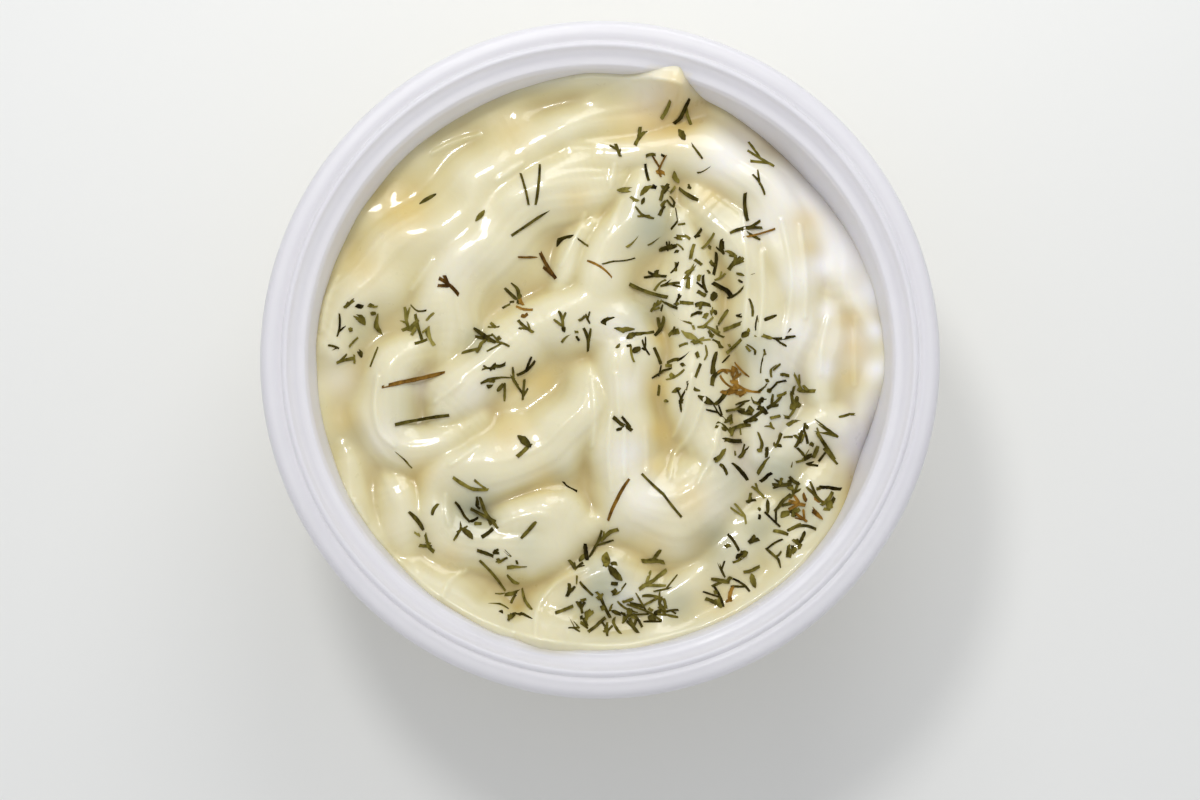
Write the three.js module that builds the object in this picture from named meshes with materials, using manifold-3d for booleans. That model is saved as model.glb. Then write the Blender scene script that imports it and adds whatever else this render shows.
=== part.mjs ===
// A round portion tub of milky plastic, filled with garlic dip and sprinkled with dried dill.
// Millimetres, +Z up. The tub stands on z = 0 with its axis on the Z axis.
import * as THREE from 'three';
import { mergeVertices } from 'three/addons/utils/BufferGeometryUtils.js';
import Module from 'manifold-3d';

// Driving dimensions of the tub.
const TUB_DIAMETER = 75;
const TUB_HEIGHT = 38;
const WALL = 0.7;
const FLOOR = 1.2;
const FOOT_RISE = 0.4;
const FOOT_WIDTH = 1.6;
const FOOT_BEVEL = 0.8;
const FLOOR_CORNER = 0.9;
const WALL_TOP_RADIUS = 32.25;
const WALL_TOP_DEPTH = 2;
const WALL_DRAFT = 0.1335;
const LEDGE_EDGE_RADIUS = 32.6;
const LEDGE_EDGE_DEPTH = 1.3;
const LEDGE_RADIUS = 33.5;
const LEDGE_DEPTH = 1.2;
const COLLAR_TOP_RADIUS = 34.2;
const COLLAR_TOP_DEPTH = 0.5;
const BEAD_RADIUS = 0.45;
const GROOVE_DEPTH = 0.45;
const GROOVE_WIDTH = 0.4;
const FLANGE_DEPTH = 0.12;
const FLANGE_EDGE_RADIUS = 1;
const SKIRT_DEPTH = 3.2;
const SKIRT_THICKNESS = 0.6;
const FLANGE_UNDERSIDE_DEPTH = 1.25;
const ROUND_SEGMENTS = 48;

// Driving dimensions of the dip.
const FILL_DEPTH = 7;
const VALLEY = 0.9;
const FOLD_DROP = 1.5;
const CREASE_SOFTNESS = 0.3;
const FOLD_END_TAPER = 0.3;
const TAPER_POWER = 4;
const SPLINE_STEPS = 6;
const GAP = 0.3;
const GRID_HALF_WIDTH = 32.4;
const GRID_CELLS = 48;

// The unevenness of the dip. A wave is its turning along x and along y, in radians per mm, and its start.
const WANDER = 0.45;
const WANDER_X = [0.31, 0.55, 1.3];
const WANDER_Y = [0.48, -0.36, 2.1];
const SWELLS = [
  { height: 0.2, across: [0.5, 0.22, 0.7], along: [-0.27, 0.55, 2.2] },
  { height: 0.06, across: [1, -0.42, 0.4], along: [0.45, 0.95, 1.1] },
];

// Where the dip climbs the wall or sags from it: azimuth and width in degrees, and height at the wall.
const WALL_CLIMBS = [
  { azimuth: 92, width: 14, height: 2.4 },
  { azimuth: 78.5, width: 4.5, height: 3.4 },
  { azimuth: 73.5, width: 3.2, height: 3.2 },
  { azimuth: 42, width: 17, height: -3.6 },
  { azimuth: -19, width: 9, height: -4.6 },
  { azimuth: -50, width: 12, height: 1.5 },
  { azimuth: -98, width: 34, height: 4 },
];
const CLIMB_START = 27.8;
const CLIMB_REACH = 3.8;

// Driving dimensions of the dill.
const FLAKE_WIDTH = 0.5;
const FLAKE_TOP = 0.35;
const FLAKE_ROOT = 0.55;
const FLAKE_TIP = 0.55;
const FLAKE_LIMIT_RADIUS = 30.7;
const LONGEST_SPRINKLED = 2.6;
const SHORTEST_SPRINKLED = 0.9;
const LONG_FLAKE = 2.4;
const SPRIG_CURL = 0.16;
const SPRINKLED_CURL = 0.2;
const PATCH_SPREAD = 1.35;
const PLACES_TRIED = 9;
const SHARE_BUILT = 0.36;
const DILL_SEED = 2024;

const HALF_TURN = 180;
const PALE_PLASTIC = 0xe2dfeb;
const CREAM = 0xf3edd2;

// The spooned folds: the run of each crest, its half width and the height of its crest above the fill.
const FOLDS = [
  {
    path: [
      [-30.7, 1.7], [-26.7, 7.5], [-21.6, 12.3], [-14.8, 17.5],
      [-11.2, 21.6], [-5.4, 25.2], [9.9, 30],
    ],
    halfWidth: 4,
    crest: 2.5,
  },
  {
    path: [
      [-17.1, 1.2], [-17.4, 6.5], [-15, 10.9], [-11.7, 15.1],
      [-7.4, 18.5], [-3, 20.1], [2, 21.1],
    ],
    halfWidth: 4.3,
    crest: 3,
  },
  {
    path: [
      [-2.5, 23], [8.5, 23.6], [14.4, 22.3], [18.8, 17.6],
      [21.4, 11.2], [22.1, 4.7], [20.8, -1.2],
    ],
    halfWidth: 3.3,
    crest: 2.8,
  },
  { path: [[5.9, 21.5], [4.8, 17.6], [2, 13.1], [0, 8.7], [-1, 5.7]], halfWidth: 3.3, crest: 2.9 },
  { path: [[-0.8, 16.1], [-3, 12.1], [-5.1, 7.7]], halfWidth: 2.1, crest: 2.2 },
  { path: [[-8.7, 3], [-4.5, 4.4], [0.5, 4.8], [3.2, 3.2]], halfWidth: 3.5, crest: 3 },
  { path: [[-6.7, 3.4], [-10.7, 1.1], [-14.4, -2.3], [-18, -5.9]], halfWidth: 3.6, crest: 2.9 },
  { path: [[2.2, 3.4], [3.2, 0.3], [2.4, -4.7], [2.2, -10.6], [4, -15.6]], halfWidth: 3.4, crest: 3.2 },
  { path: [[2.8, -13.1], [5, -16.6], [8.9, -17], [12.4, -14.4]], halfWidth: 4.7, crest: 3.4 },
  { path: [[12.9, -13.1], [11.6, -7.7], [10.7, -1.7], [10.3, 4.2], [9.4, 15.7]], halfWidth: 3.3, crest: 2.8 },
  { path: [[18.2, -9.9], [18.7, 0.3], [17.4, 9.2], [15.1, 14.1], [11.3, 18.4]], halfWidth: 3.3, crest: 2.7 },
  {
    path: [
      [-19.3, 1.1], [-22.8, -0.5], [-24.2, -4.7],
      [-22.3, -8.9], [-17.8, -9.5], [-13.5, -7.2],
    ],
    halfWidth: 3.4,
    crest: 2.6,
  },
  {
    path: [
      [-0.8, -1.7], [-2, -5.7], [-5, -9.4],
      [-9.9, -11.2], [-15.3, -12.9], [-18.1, -15.1],
    ],
    halfWidth: 3.8,
    crest: 3.2,
  },
  {
    path: [
      [-18.1, -15.1], [-18, -17.9], [-14.8, -20.3],
      [-10.4, -21.1], [-5.4, -20.4], [-1, -17.9],
    ],
    halfWidth: 3.4,
    crest: 2.9,
  },
  { path: [[-10.9, -18.5], [-6.9, -17.9], [-2.5, -18.2]], halfWidth: 3.3, crest: 3 },
  { path: [[-23.6, -12.8], [-22, -17.1], [-20.6, -21]], halfWidth: 2.9, crest: 2.2 },
  { path: [[-28.9, -10.1], [-27, -15.6], [-23.8, -20.8]], halfWidth: 2.3, crest: 1.4 },
  { path: [[-19.8, -23], [-15.8, -25.8], [-10.6, -29.7]], halfWidth: 3.5, crest: 2.2 },
  { path: [[-6.2, -30.9], [-4.2, -27.5], [0.2, -25.5], [5.4, -25.4]], halfWidth: 4.1, crest: 2.9 },
  { path: [[5.4, -28.9], [10.4, -25.3], [13.9, -22.5], [17.1, -20.3]], halfWidth: 3.8, crest: 2.4 },
  { path: [[14.5, -19], [19.1, -17.9]], halfWidth: 3, crest: 1.9 },
  { path: [[18.7, -21.4], [22.8, -17.7], [25.6, -12.9]], halfWidth: 3.3, crest: 1.9 },
  { path: [[19.6, -13.1], [22.5, -8.5], [27.2, -6.9]], halfWidth: 3.2, crest: 2.2 },
  { path: [[17.1, 23.5], [22.5, 19.5], [26.5, 12.9], [27.7, 6.9]], halfWidth: 3, crest: 1.7 },
  { path: [[28.5, 8], [31.5, 1.2], [29.5, -7.7]], halfWidth: 2.3, crest: 1.5 },
  { path: [[25.9, 6.9], [24.8, 0.6], [25, -6.2]], halfWidth: 2.5, crest: 2 },
];

// Sprigs that lie apart: x, y, heading in degrees and length.
const LONE_SPRIGS = [
  [-19.3, 18.1, 30, 2.2], [-13.4, 16.1, 55, 1.6], [-8.4, 19.1, 105, 3.8], [-6.9, 19.6, 85, 4.7],
  [-7.4, 15.6, 35, 6.1], [-7.9, 11.6, 5, 2.5], [-5.9, 10.7, 120, 3.6], [-4, 13.6, 55, 2.3],
  [-2.5, 13.6, 5, 2.2], [3, 19.1, 5, 2.2], [9.9, 29.5, 40, 2.9], [7.4, 28, 60, 2],
  [9.9, 27.5, 110, 2], [4.5, 25, 55, 2.2], [2, 23.5, 110, 1.6], [18.3, 23, 150, 3.5],
  [17.8, 19.6, 120, 2.7], [16.3, 17.1, 95, 3.1], [16.3, 14.6, 10, 3.7], [17.8, 14.1, 15, 3.7],
  [2, 11.2, 30, 3.6], [0, 10.2, 145, 3.4], [5.4, 7.7, 160, 4.5], [-16.8, 8.2, 140, 2.9],
  [-20.3, 5.7, 175, 1.9], [-20.3, 3.7, 105, 3], [-12.9, 2.7, 145, 3], [-20.8, -2.2, 15, 7.2],
  [-19.8, -6.7, 10, 6.1], [-21.8, -11.1, 135, 2.7], [-14.4, -14.1, 170, 4.1], [-8.4, -9.1, 140, 2],
  [-8.4, -10.1, 45, 2.2], [-3.5, -14.1, 160, 2.2], [6.9, -15.1, 125, 6.5], [2, -15.6, 60, 5.2],
  [1, -19.5, 40, 2.3], [-0.5, -20.5, 60, 3.3], [-11.9, -24, 130, 4.4], [-12.4, -17.1, 130, 4],
  [-7.9, -19, 45, 2.5], [5.9, -22.5, 5, 2.5], [5.9, -24.5, 25, 3.7], [7.4, -25.5, 10, 3],
  [5, -28, 145, 4.2], [27.7, -6.2, 20, 2.1], [25.2, -7.7, 145, 3.3], [25.2, -9.6, 125, 3.6],
  [15.8, -17.1, 110, 2.6], [14.4, -9.1, 170, 2.8], [2.5, -7.2, 155, 2.6], [-11.4, -2.2, 15, 3.9],
];

// Sprinkled patches: centre, reach each way and how many flakes.
const PATCHES = [
  [8.9, 22, 2.9, 2.6, 8], [6.4, 16.1, 2.8, 3.2, 10], [10.4, 12.6, 2.4, 2.2, 8], [13.9, 9.7, 2.4, 2.2, 9],
  [7.9, 9.5, 1.8, 1.1, 4], [9.4, 5.7, 2.6, 2.2, 10], [11.9, 2.7, 2.8, 2.4, 12], [9.4, -1.7, 2.8, 2.8, 11],
  [17.3, 2.7, 2.4, 2.6, 8], [15.3, -2, 1.4, 1.4, 7], [15.3, -5.7, 1.7, 2.2, 12],
  [20.3, -3.7, 2.2, 2.1, 12], [20.3, -8.2, 2.3, 2, 6], [23.8, -9.6, 1.8, 1.5, 7], [15.8, -11.1, 2.4, 1.2, 6],
  [18.8, -15.6, 1.9, 2.3, 8], [22.8, -16.1, 1.8, 2.2, 10], [21.8, -20.5, 2.3, 1.8, 6], [15.6, -22, 2, 1.7, 5],
  [15.1, -26.5, 2.1, 2, 7], [-0.5, -24.6, 2.4, 2.6, 11], [0.5, -28.6, 3.6, 1.6, 11],
  [5.4, -28.4, 2.4, 1.8, 9], [-9.7, -27.8, 1.6, 1.6, 6], [-10.9, -22.8, 1.9, 1.5, 5],
  [-13.9, -17.6, 2, 1.6, 5], [-19.1, -18.5, 1.2, 1.6, 3], [-27, 3.2, 2.3, 2.7, 9], [-20.1, 4.2, 1.3, 1.6, 5],
  [-12.9, 2.2, 1.5, 1.3, 4], [-10.2, -2, 1.9, 1.3, 6], [-9.2, 5.7, 1, 2.1, 5], [-1.5, 3.4, 3.6, 1, 6],
  [3.5, 2.5, 1.6, 1.3, 5], [26, -16.1, 1, 1.4, 3],
];

const wasm = await Module();
wasm.setup();

// The inner radius of the tapered wall at a height.
function wallRadius(z) {
  return WALL_TOP_RADIUS - (TUB_HEIGHT - WALL_TOP_DEPTH - z) * WALL_DRAFT;
}

// Points on an arc about (r, z), from one angle to another in degrees.
function arc(r, z, radius, from, to, steps) {
  return Array.from({ length: steps + 1 }, (_, i) => {
    const angle = THREE.MathUtils.degToRad(from + ((to - from) * i) / steps);
    return [r + radius * Math.cos(angle), z + radius * Math.sin(angle)];
  });
}

// A closed solid of revolution about Z, from [radius, z] pairs that start and end on the axis.
function revolve(profile) {
  const points = profile.map(([r, z]) => new THREE.Vector2(r, z));
  const geometry = new THREE.LatheGeometry(points, ROUND_SEGMENTS);
  geometry.rotateX(Math.PI / 2);
  return geometry;
}

function toManifold(geometry) {
  const bare = geometry.clone();
  bare.deleteAttribute('normal');
  bare.deleteAttribute('uv');
  const merged = mergeVertices(bare, 1e-4);
  const triVerts = [];
  const index = merged.index.array;
  for (let i = 0; i < index.length; i += 3) {
    const [a, b, c] = [index[i], index[i + 1], index[i + 2]];
    if (a !== b && b !== c && c !== a) {
      triVerts.push(a, b, c);
    }
  }
  return new wasm.Manifold(new wasm.Mesh({
    numProp: 3,
    vertProperties: new Float32Array(merged.attributes.position.array),
    triVerts: new Uint32Array(triVerts),
  }));
}

function toGeometry(manifold) {
  const { vertProperties, triVerts } = manifold.getMesh();
  const geometry = new THREE.BufferGeometry();
  geometry.setAttribute('position', new THREE.BufferAttribute(new Float32Array(vertProperties), 3));
  geometry.setIndex(new THREE.BufferAttribute(new Uint32Array(triVerts), 1));
  geometry.computeVertexNormals();
  return geometry;
}

// The tub: foot ring, tapered wall, inner ledge, collar, rim bead and a flange with a turned-down skirt.
function tubProfile() {
  const rim = TUB_HEIGHT;
  const edge = TUB_DIAMETER / 2;
  const foot = wallRadius(FLOOR);
  const shoulder = rim - WALL_TOP_DEPTH - WALL;
  const bead = COLLAR_TOP_RADIUS + BEAD_RADIUS;
  const groove = bead + BEAD_RADIUS;
  const turn = edge - FLANGE_EDGE_RADIUS;
  return [
    [0, FOOT_RISE],
    [foot - FOOT_WIDTH - FOOT_BEVEL, FOOT_RISE],
    [foot - FOOT_WIDTH, 0],
    [foot, 0],
    [foot + WALL, FOOT_BEVEL],
    [wallRadius(shoulder) + WALL, shoulder],
    [LEDGE_RADIUS + WALL, shoulder + WALL],
    [COLLAR_TOP_RADIUS + WALL, rim - FLANGE_UNDERSIDE_DEPTH],
    [edge - SKIRT_THICKNESS, rim - FLANGE_UNDERSIDE_DEPTH],
    [edge - SKIRT_THICKNESS, rim - SKIRT_DEPTH],
    [edge, rim - SKIRT_DEPTH],
    ...arc(turn, rim - FLANGE_DEPTH - FLANGE_EDGE_RADIUS, FLANGE_EDGE_RADIUS, 0, 90, 3),
    [groove + GROOVE_WIDTH, rim - FLANGE_DEPTH],
    [groove, rim - GROOVE_DEPTH],
    ...arc(bead, rim - BEAD_RADIUS, BEAD_RADIUS, 45, 180, 3),
    [COLLAR_TOP_RADIUS, rim - COLLAR_TOP_DEPTH],
    [LEDGE_RADIUS, rim - LEDGE_DEPTH],
    [LEDGE_EDGE_RADIUS, rim - LEDGE_EDGE_DEPTH],
    [WALL_TOP_RADIUS, rim - WALL_TOP_DEPTH],
    [wallRadius(FLOOR + FLOOR_CORNER), FLOOR + FLOOR_CORNER],
    [wallRadius(FLOOR) - FLOOR_CORNER, FLOOR],
    [0, FLOOR],
  ];
}

// Points along a smooth curve through a fold's path.
function sampleFold({ path, halfWidth, crest }) {
  const curve = new THREE.CatmullRomCurve3(path.map(([x, y]) => new THREE.Vector3(x, y, 0)));
  const steps = SPLINE_STEPS * (path.length - 1);
  return curve.getPoints(steps).map((point, i) => {
    const fromMiddle = Math.abs((2 * i) / steps - 1);
    const taper = 1 - FOLD_END_TAPER * fromMiddle ** TAPER_POWER;
    return { x: point.x, y: point.y, halfWidth: halfWidth * taper, crest: crest * taper };
  });
}

const sampledFolds = FOLDS.map(sampleFold);

// The height of one fold over a point: a rounded ridge that falls away from its crest.
function foldHeight(samples, x, y) {
  let highest = -Infinity;
  for (let i = 1; i < samples.length; i += 1) {
    const a = samples[i - 1];
    const b = samples[i];
    const dx = b.x - a.x;
    const dy = b.y - a.y;
    const along = ((x - a.x) * dx + (y - a.y) * dy) / (dx * dx + dy * dy);
    const t = THREE.MathUtils.clamp(along, 0, 1);
    const away = (x - a.x - t * dx) ** 2 + (y - a.y - t * dy) ** 2;
    const halfWidth = THREE.MathUtils.lerp(a.halfWidth, b.halfWidth, t);
    const crest = THREE.MathUtils.lerp(a.crest, b.crest, t);
    highest = Math.max(highest, crest - (FOLD_DROP * away) / halfWidth ** 2);
  }
  return highest;
}

function wave([alongX, alongY, start], x, y) {
  return Math.sin(alongX * x + alongY * y + start);
}

// How far the dip climbs the wall, or sags from it.
function wallClimb(x, y) {
  const azimuth = THREE.MathUtils.radToDeg(Math.atan2(y, x));
  const nearWall = THREE.MathUtils.clamp((Math.hypot(x, y) - CLIMB_START) / CLIMB_REACH, 0, 1);
  const heights = WALL_CLIMBS.map((climb) => {
    const away = (azimuth - climb.azimuth) / climb.width;
    return climb.height * Math.exp(-(away ** 2));
  });
  return nearWall ** 2 * heights.reduce((sum, height) => sum + height);
}

// The dip's surface: wandering folds joined with soft creases, swells over them and climbs at the wall.
function surfaceHeight(x, y) {
  const wanderedX = x + WANDER * wave(WANDER_X, x, y);
  const wanderedY = y + WANDER * wave(WANDER_Y, x, y);
  let sum = Math.exp(VALLEY / CREASE_SOFTNESS);
  for (const samples of sampledFolds) {
    sum += Math.exp(foldHeight(samples, wanderedX, wanderedY) / CREASE_SOFTNESS);
  }
  let height = TUB_HEIGHT - FILL_DEPTH + CREASE_SOFTNESS * Math.log(sum) + wallClimb(x, y);
  for (const swell of SWELLS) {
    height += swell.height * wave(swell.across, x, y) * wave(swell.along, x, y);
  }
  return height;
}

const cell = (2 * GRID_HALF_WIDTH) / GRID_CELLS;

// The height of the faceted core, read between the corners of a grid cell.
function coreHeight(x, y) {
  const left = Math.floor((x + GRID_HALF_WIDTH) / cell) * cell - GRID_HALF_WIDTH;
  const right = left + cell;
  const front = Math.floor((y + GRID_HALF_WIDTH) / cell) * cell - GRID_HALF_WIDTH;
  const back = front + cell;
  const u = (x - left) / cell;
  const v = (y - front) / cell;
  const near = THREE.MathUtils.lerp(surfaceHeight(left, front), surfaceHeight(right, front), u);
  const far = THREE.MathUtils.lerp(surfaceHeight(left, back), surfaceHeight(right, back), u);
  return THREE.MathUtils.lerp(near, far, v);
}

// The dip without its dill: a block with the folded top, cut to the inside of the tub.
function dipCore() {
  const size = 2 * GRID_HALF_WIDTH;
  const block = new THREE.BoxGeometry(size, size, 1, GRID_CELLS, GRID_CELLS, 1);
  const position = block.attributes.position;
  for (let i = 0; i < position.count; i += 1) {
    const top = position.getZ(i) > 0;
    position.setZ(i, top ? surfaceHeight(position.getX(i), position.getY(i)) : -1);
  }
  const bottom = FLOOR + GAP;
  const side = bottom + FLOOR_CORNER;
  const topRadius = WALL_TOP_RADIUS - GAP;
  const cavity = revolve([
    [0, bottom],
    [wallRadius(bottom) - FLOOR_CORNER - GAP, bottom],
    [wallRadius(side) - GAP, side],
    [topRadius, TUB_HEIGHT - WALL_TOP_DEPTH],
    [topRadius, TUB_HEIGHT],
    [0, TUB_HEIGHT],
  ]);
  return toManifold(cavity).intersect(toManifold(block));
}

// The same even random draws on every machine.
function seededRandom(seed) {
  let state = seed;
  return () => {
    state = (state + 0x6d2b79f5) | 0;
    let mixed = Math.imul(state ^ (state >>> 15), 1 | state);
    mixed = (mixed + Math.imul(mixed ^ (mixed >>> 7), 61 | mixed)) ^ mixed;
    return ((mixed ^ (mixed >>> 14)) >>> 0) / 4294967296;
  };
}

// One flake of dried dill, bent a little and laid half sunk along the core's surface.
function flakeSolid({ x, y, heading, length, curl }) {
  const steps = length > LONG_FLAKE ? 2 : 1;
  const geometry = new THREE.BoxGeometry(length, FLAKE_WIDTH, 1, steps, 1, 1);
  const position = geometry.attributes.position;
  const angle = THREE.MathUtils.degToRad(heading);
  for (let i = 0; i < position.count; i += 1) {
    const along = position.getX(i);
    const end = (2 * Math.abs(along)) / length;
    const across = position.getY(i) * THREE.MathUtils.lerp(1, FLAKE_TIP, end);
    const bend = curl * length * (end ** 2 - 0.5);
    const midX = x + along * Math.cos(angle) - bend * Math.sin(angle);
    const midY = y + along * Math.sin(angle) + bend * Math.cos(angle);
    position.setXYZ(
      i,
      midX - across * Math.sin(angle),
      midY + across * Math.cos(angle),
      coreHeight(midX, midY) + (position.getZ(i) > 0 ? FLAKE_TOP : -FLAKE_ROOT),
    );
  }
  return toManifold(geometry);
}

// Keeps a flake's middle far enough from the wall for its length.
function keptInside(x, y, length) {
  const limit = FLAKE_LIMIT_RADIUS - length / 2;
  const scale = Math.min(1, limit / Math.hypot(x, y));
  return [x * scale, y * scale];
}

// The place in a patch, out of a few drawn, that is farthest from the flakes laid so far.
function roomiestPlace([x, y, reachX, reachY], length, laid, random) {
  let best = null;
  let mostRoom = -1;
  for (let i = 0; i < PLACES_TRIED; i += 1) {
    const across = 2 * random() - 1;
    const along = 2 * random() - 1;
    const offsetX = PATCH_SPREAD * reachX * across * Math.sqrt(1 - along ** 2 / 2);
    const offsetY = PATCH_SPREAD * reachY * along * Math.sqrt(1 - across ** 2 / 2);
    const place = keptInside(x + offsetX, y + offsetY, length);
    const room = Math.min(...laid.map((other) => Math.hypot(place[0] - other.x, place[1] - other.y)));
    if (room > mostRoom) {
      best = place;
      mostRoom = room;
    }
  }
  return best;
}

// Where every flake lies: the sprigs apart, then each patch with its longest flakes first.
function dillPlaces() {
  const random = seededRandom(DILL_SEED);
  const laid = LONE_SPRIGS.map(([sprigX, sprigY, heading, length]) => {
    const [x, y] = keptInside(sprigX, sprigY, length);
    return { x, y, heading, length, curl: SPRIG_CURL * (random() - 0.5), built: true };
  });
  for (const patch of PATCHES) {
    const count = patch[4];
    for (let i = 0; i < count; i += 1) {
      const length = THREE.MathUtils.lerp(LONGEST_SPRINKLED, SHORTEST_SPRINKLED, i / count);
      const [x, y] = roomiestPlace(patch, length, laid, random);
      const heading = HALF_TURN * random();
      const curl = SPRINKLED_CURL * (random() - 0.5);
      laid.push({ x, y, heading, length, curl, built: i < count * SHARE_BUILT });
    }
  }
  return laid.filter(({ built }) => built);
}

// The dip and its dill as one solid, without loose scraps.
function garlicDip() {
  const joined = dillPlaces().reduce((dip, place) => dip.add(flakeSolid(place)), dipCore());
  const bodies = joined.decompose();
  return bodies.reduce((largest, body) => (body.volume() > largest.volume() ? body : largest));
}

function subPart(name, geometry, material) {
  const mesh = new THREE.Mesh(geometry, material);
  mesh.name = name;
  return mesh;
}

const tubMaterial = new THREE.MeshStandardMaterial({ color: PALE_PLASTIC, roughness: 0.35, metalness: 0 });
const dipMaterial = new THREE.MeshStandardMaterial({ color: CREAM, roughness: 0.3, metalness: 0 });

const group = new THREE.Group();
group.add(subPart('tub', toGeometry(toManifold(revolve(tubProfile()))), tubMaterial));
group.add(subPart('garlic_dip', toGeometry(garlicDip()), dipMaterial));

export default group;
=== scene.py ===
"""Looks of a round portion tub of garlic dip sprinkled with dried dill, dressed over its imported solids.

Sizes are in millimetres in the classes and become metres as a mesh is made. The tub stands on z = 0.
A finish's own sizes are in metres, as its nodes take them.
"""

from __future__ import annotations

import logging
import math
from collections.abc import Callable, Iterator
from dataclasses import dataclass, field
from enum import Enum

import bmesh
import bpy
import numpy as np
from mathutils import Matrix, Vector


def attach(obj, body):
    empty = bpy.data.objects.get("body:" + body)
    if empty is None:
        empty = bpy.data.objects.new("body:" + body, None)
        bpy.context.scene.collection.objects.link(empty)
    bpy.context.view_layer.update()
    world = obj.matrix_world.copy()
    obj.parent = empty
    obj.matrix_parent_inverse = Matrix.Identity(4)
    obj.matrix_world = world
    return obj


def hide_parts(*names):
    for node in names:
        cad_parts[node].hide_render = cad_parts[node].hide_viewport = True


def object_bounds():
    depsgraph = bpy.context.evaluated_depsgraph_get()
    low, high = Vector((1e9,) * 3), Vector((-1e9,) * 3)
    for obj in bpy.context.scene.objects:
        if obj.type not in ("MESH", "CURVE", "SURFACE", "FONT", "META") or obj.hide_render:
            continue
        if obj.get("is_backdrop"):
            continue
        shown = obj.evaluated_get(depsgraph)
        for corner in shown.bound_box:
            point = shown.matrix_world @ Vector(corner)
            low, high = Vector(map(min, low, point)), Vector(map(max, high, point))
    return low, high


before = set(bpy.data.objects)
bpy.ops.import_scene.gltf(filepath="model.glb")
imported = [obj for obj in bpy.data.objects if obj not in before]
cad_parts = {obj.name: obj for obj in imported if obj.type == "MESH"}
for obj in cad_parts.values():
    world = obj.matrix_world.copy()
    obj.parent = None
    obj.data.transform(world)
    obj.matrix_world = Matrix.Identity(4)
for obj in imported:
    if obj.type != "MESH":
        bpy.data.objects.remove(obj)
CAD_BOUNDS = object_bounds()

MM = 0.001
HALF_TURN = 180.0
LOG = logging.getLogger("garlic_dip")

Colour = tuple[int, int, int]
Place = tuple[float, float]
Span = tuple[float, float]
Draw = Callable[[], float]
Socket = bpy.types.NodeSocket

# How many radians a wave pattern of scale 1 turns in a metre.
WAVE_TURNING = 20.0


def linear(colour: Colour) -> tuple[float, float, float, float]:
    """Turns a screen colour into the linear colour that a shader takes.

    Args:
        colour: Red, green and blue from 0 to 255.

    Returns:
        Linear red, green, blue and an alpha of 1.
    """
    shares = [channel / 255 for channel in colour]
    made = [s / 12.92 if s <= 0.04045 else ((s + 0.055) / 1.055) ** 2.4 for s in shares]
    return made[0], made[1], made[2], 1.0


def seeded_random(seed: int) -> Draw:
    """Makes the even random draws that the solids' dill is laid out with.

    Args:
        seed: Where the draws start.

    Returns:
        A function whose calls give numbers from 0 to 1.
    """
    whole = 0xFFFFFFFF
    stride = 0x6D2B79F5
    state = seed

    def draw() -> float:
        """Gives the next number."""
        nonlocal state
        state = (state + stride) & whole
        mixed = ((state ^ (state >> 15)) * (1 | state)) & whole
        mixed = ((mixed + (((mixed ^ (mixed >> 7)) * (61 | mixed)) & whole)) & whole) ^ mixed
        return (mixed ^ (mixed >> 14)) / (whole + 1)

    return draw


def between(span: Span, draw: Draw) -> float:
    """Draws a number between a span's ends."""
    return span[0] + (span[1] - span[0]) * draw()


@dataclass(frozen=True)
class Pattern:
    """A cloudy pattern: its blobs in a metre, its finer layers and how much tighter it is along each axis."""

    per_metre: float
    detail: float
    stretch: tuple[float, float, float] = (1.0, 1.0, 1.0)


@dataclass(frozen=True)
class Scatter:
    """Light inside a body: how much goes in, how far it spreads in metres, and its spread by colour."""

    share: float
    reach: float
    colours: tuple[float, float, float]


@dataclass(frozen=True)
class Relief:
    """Fine roughness of a surface: how deep it is in metres and how much of it shows."""

    depth: float
    share: float


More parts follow.
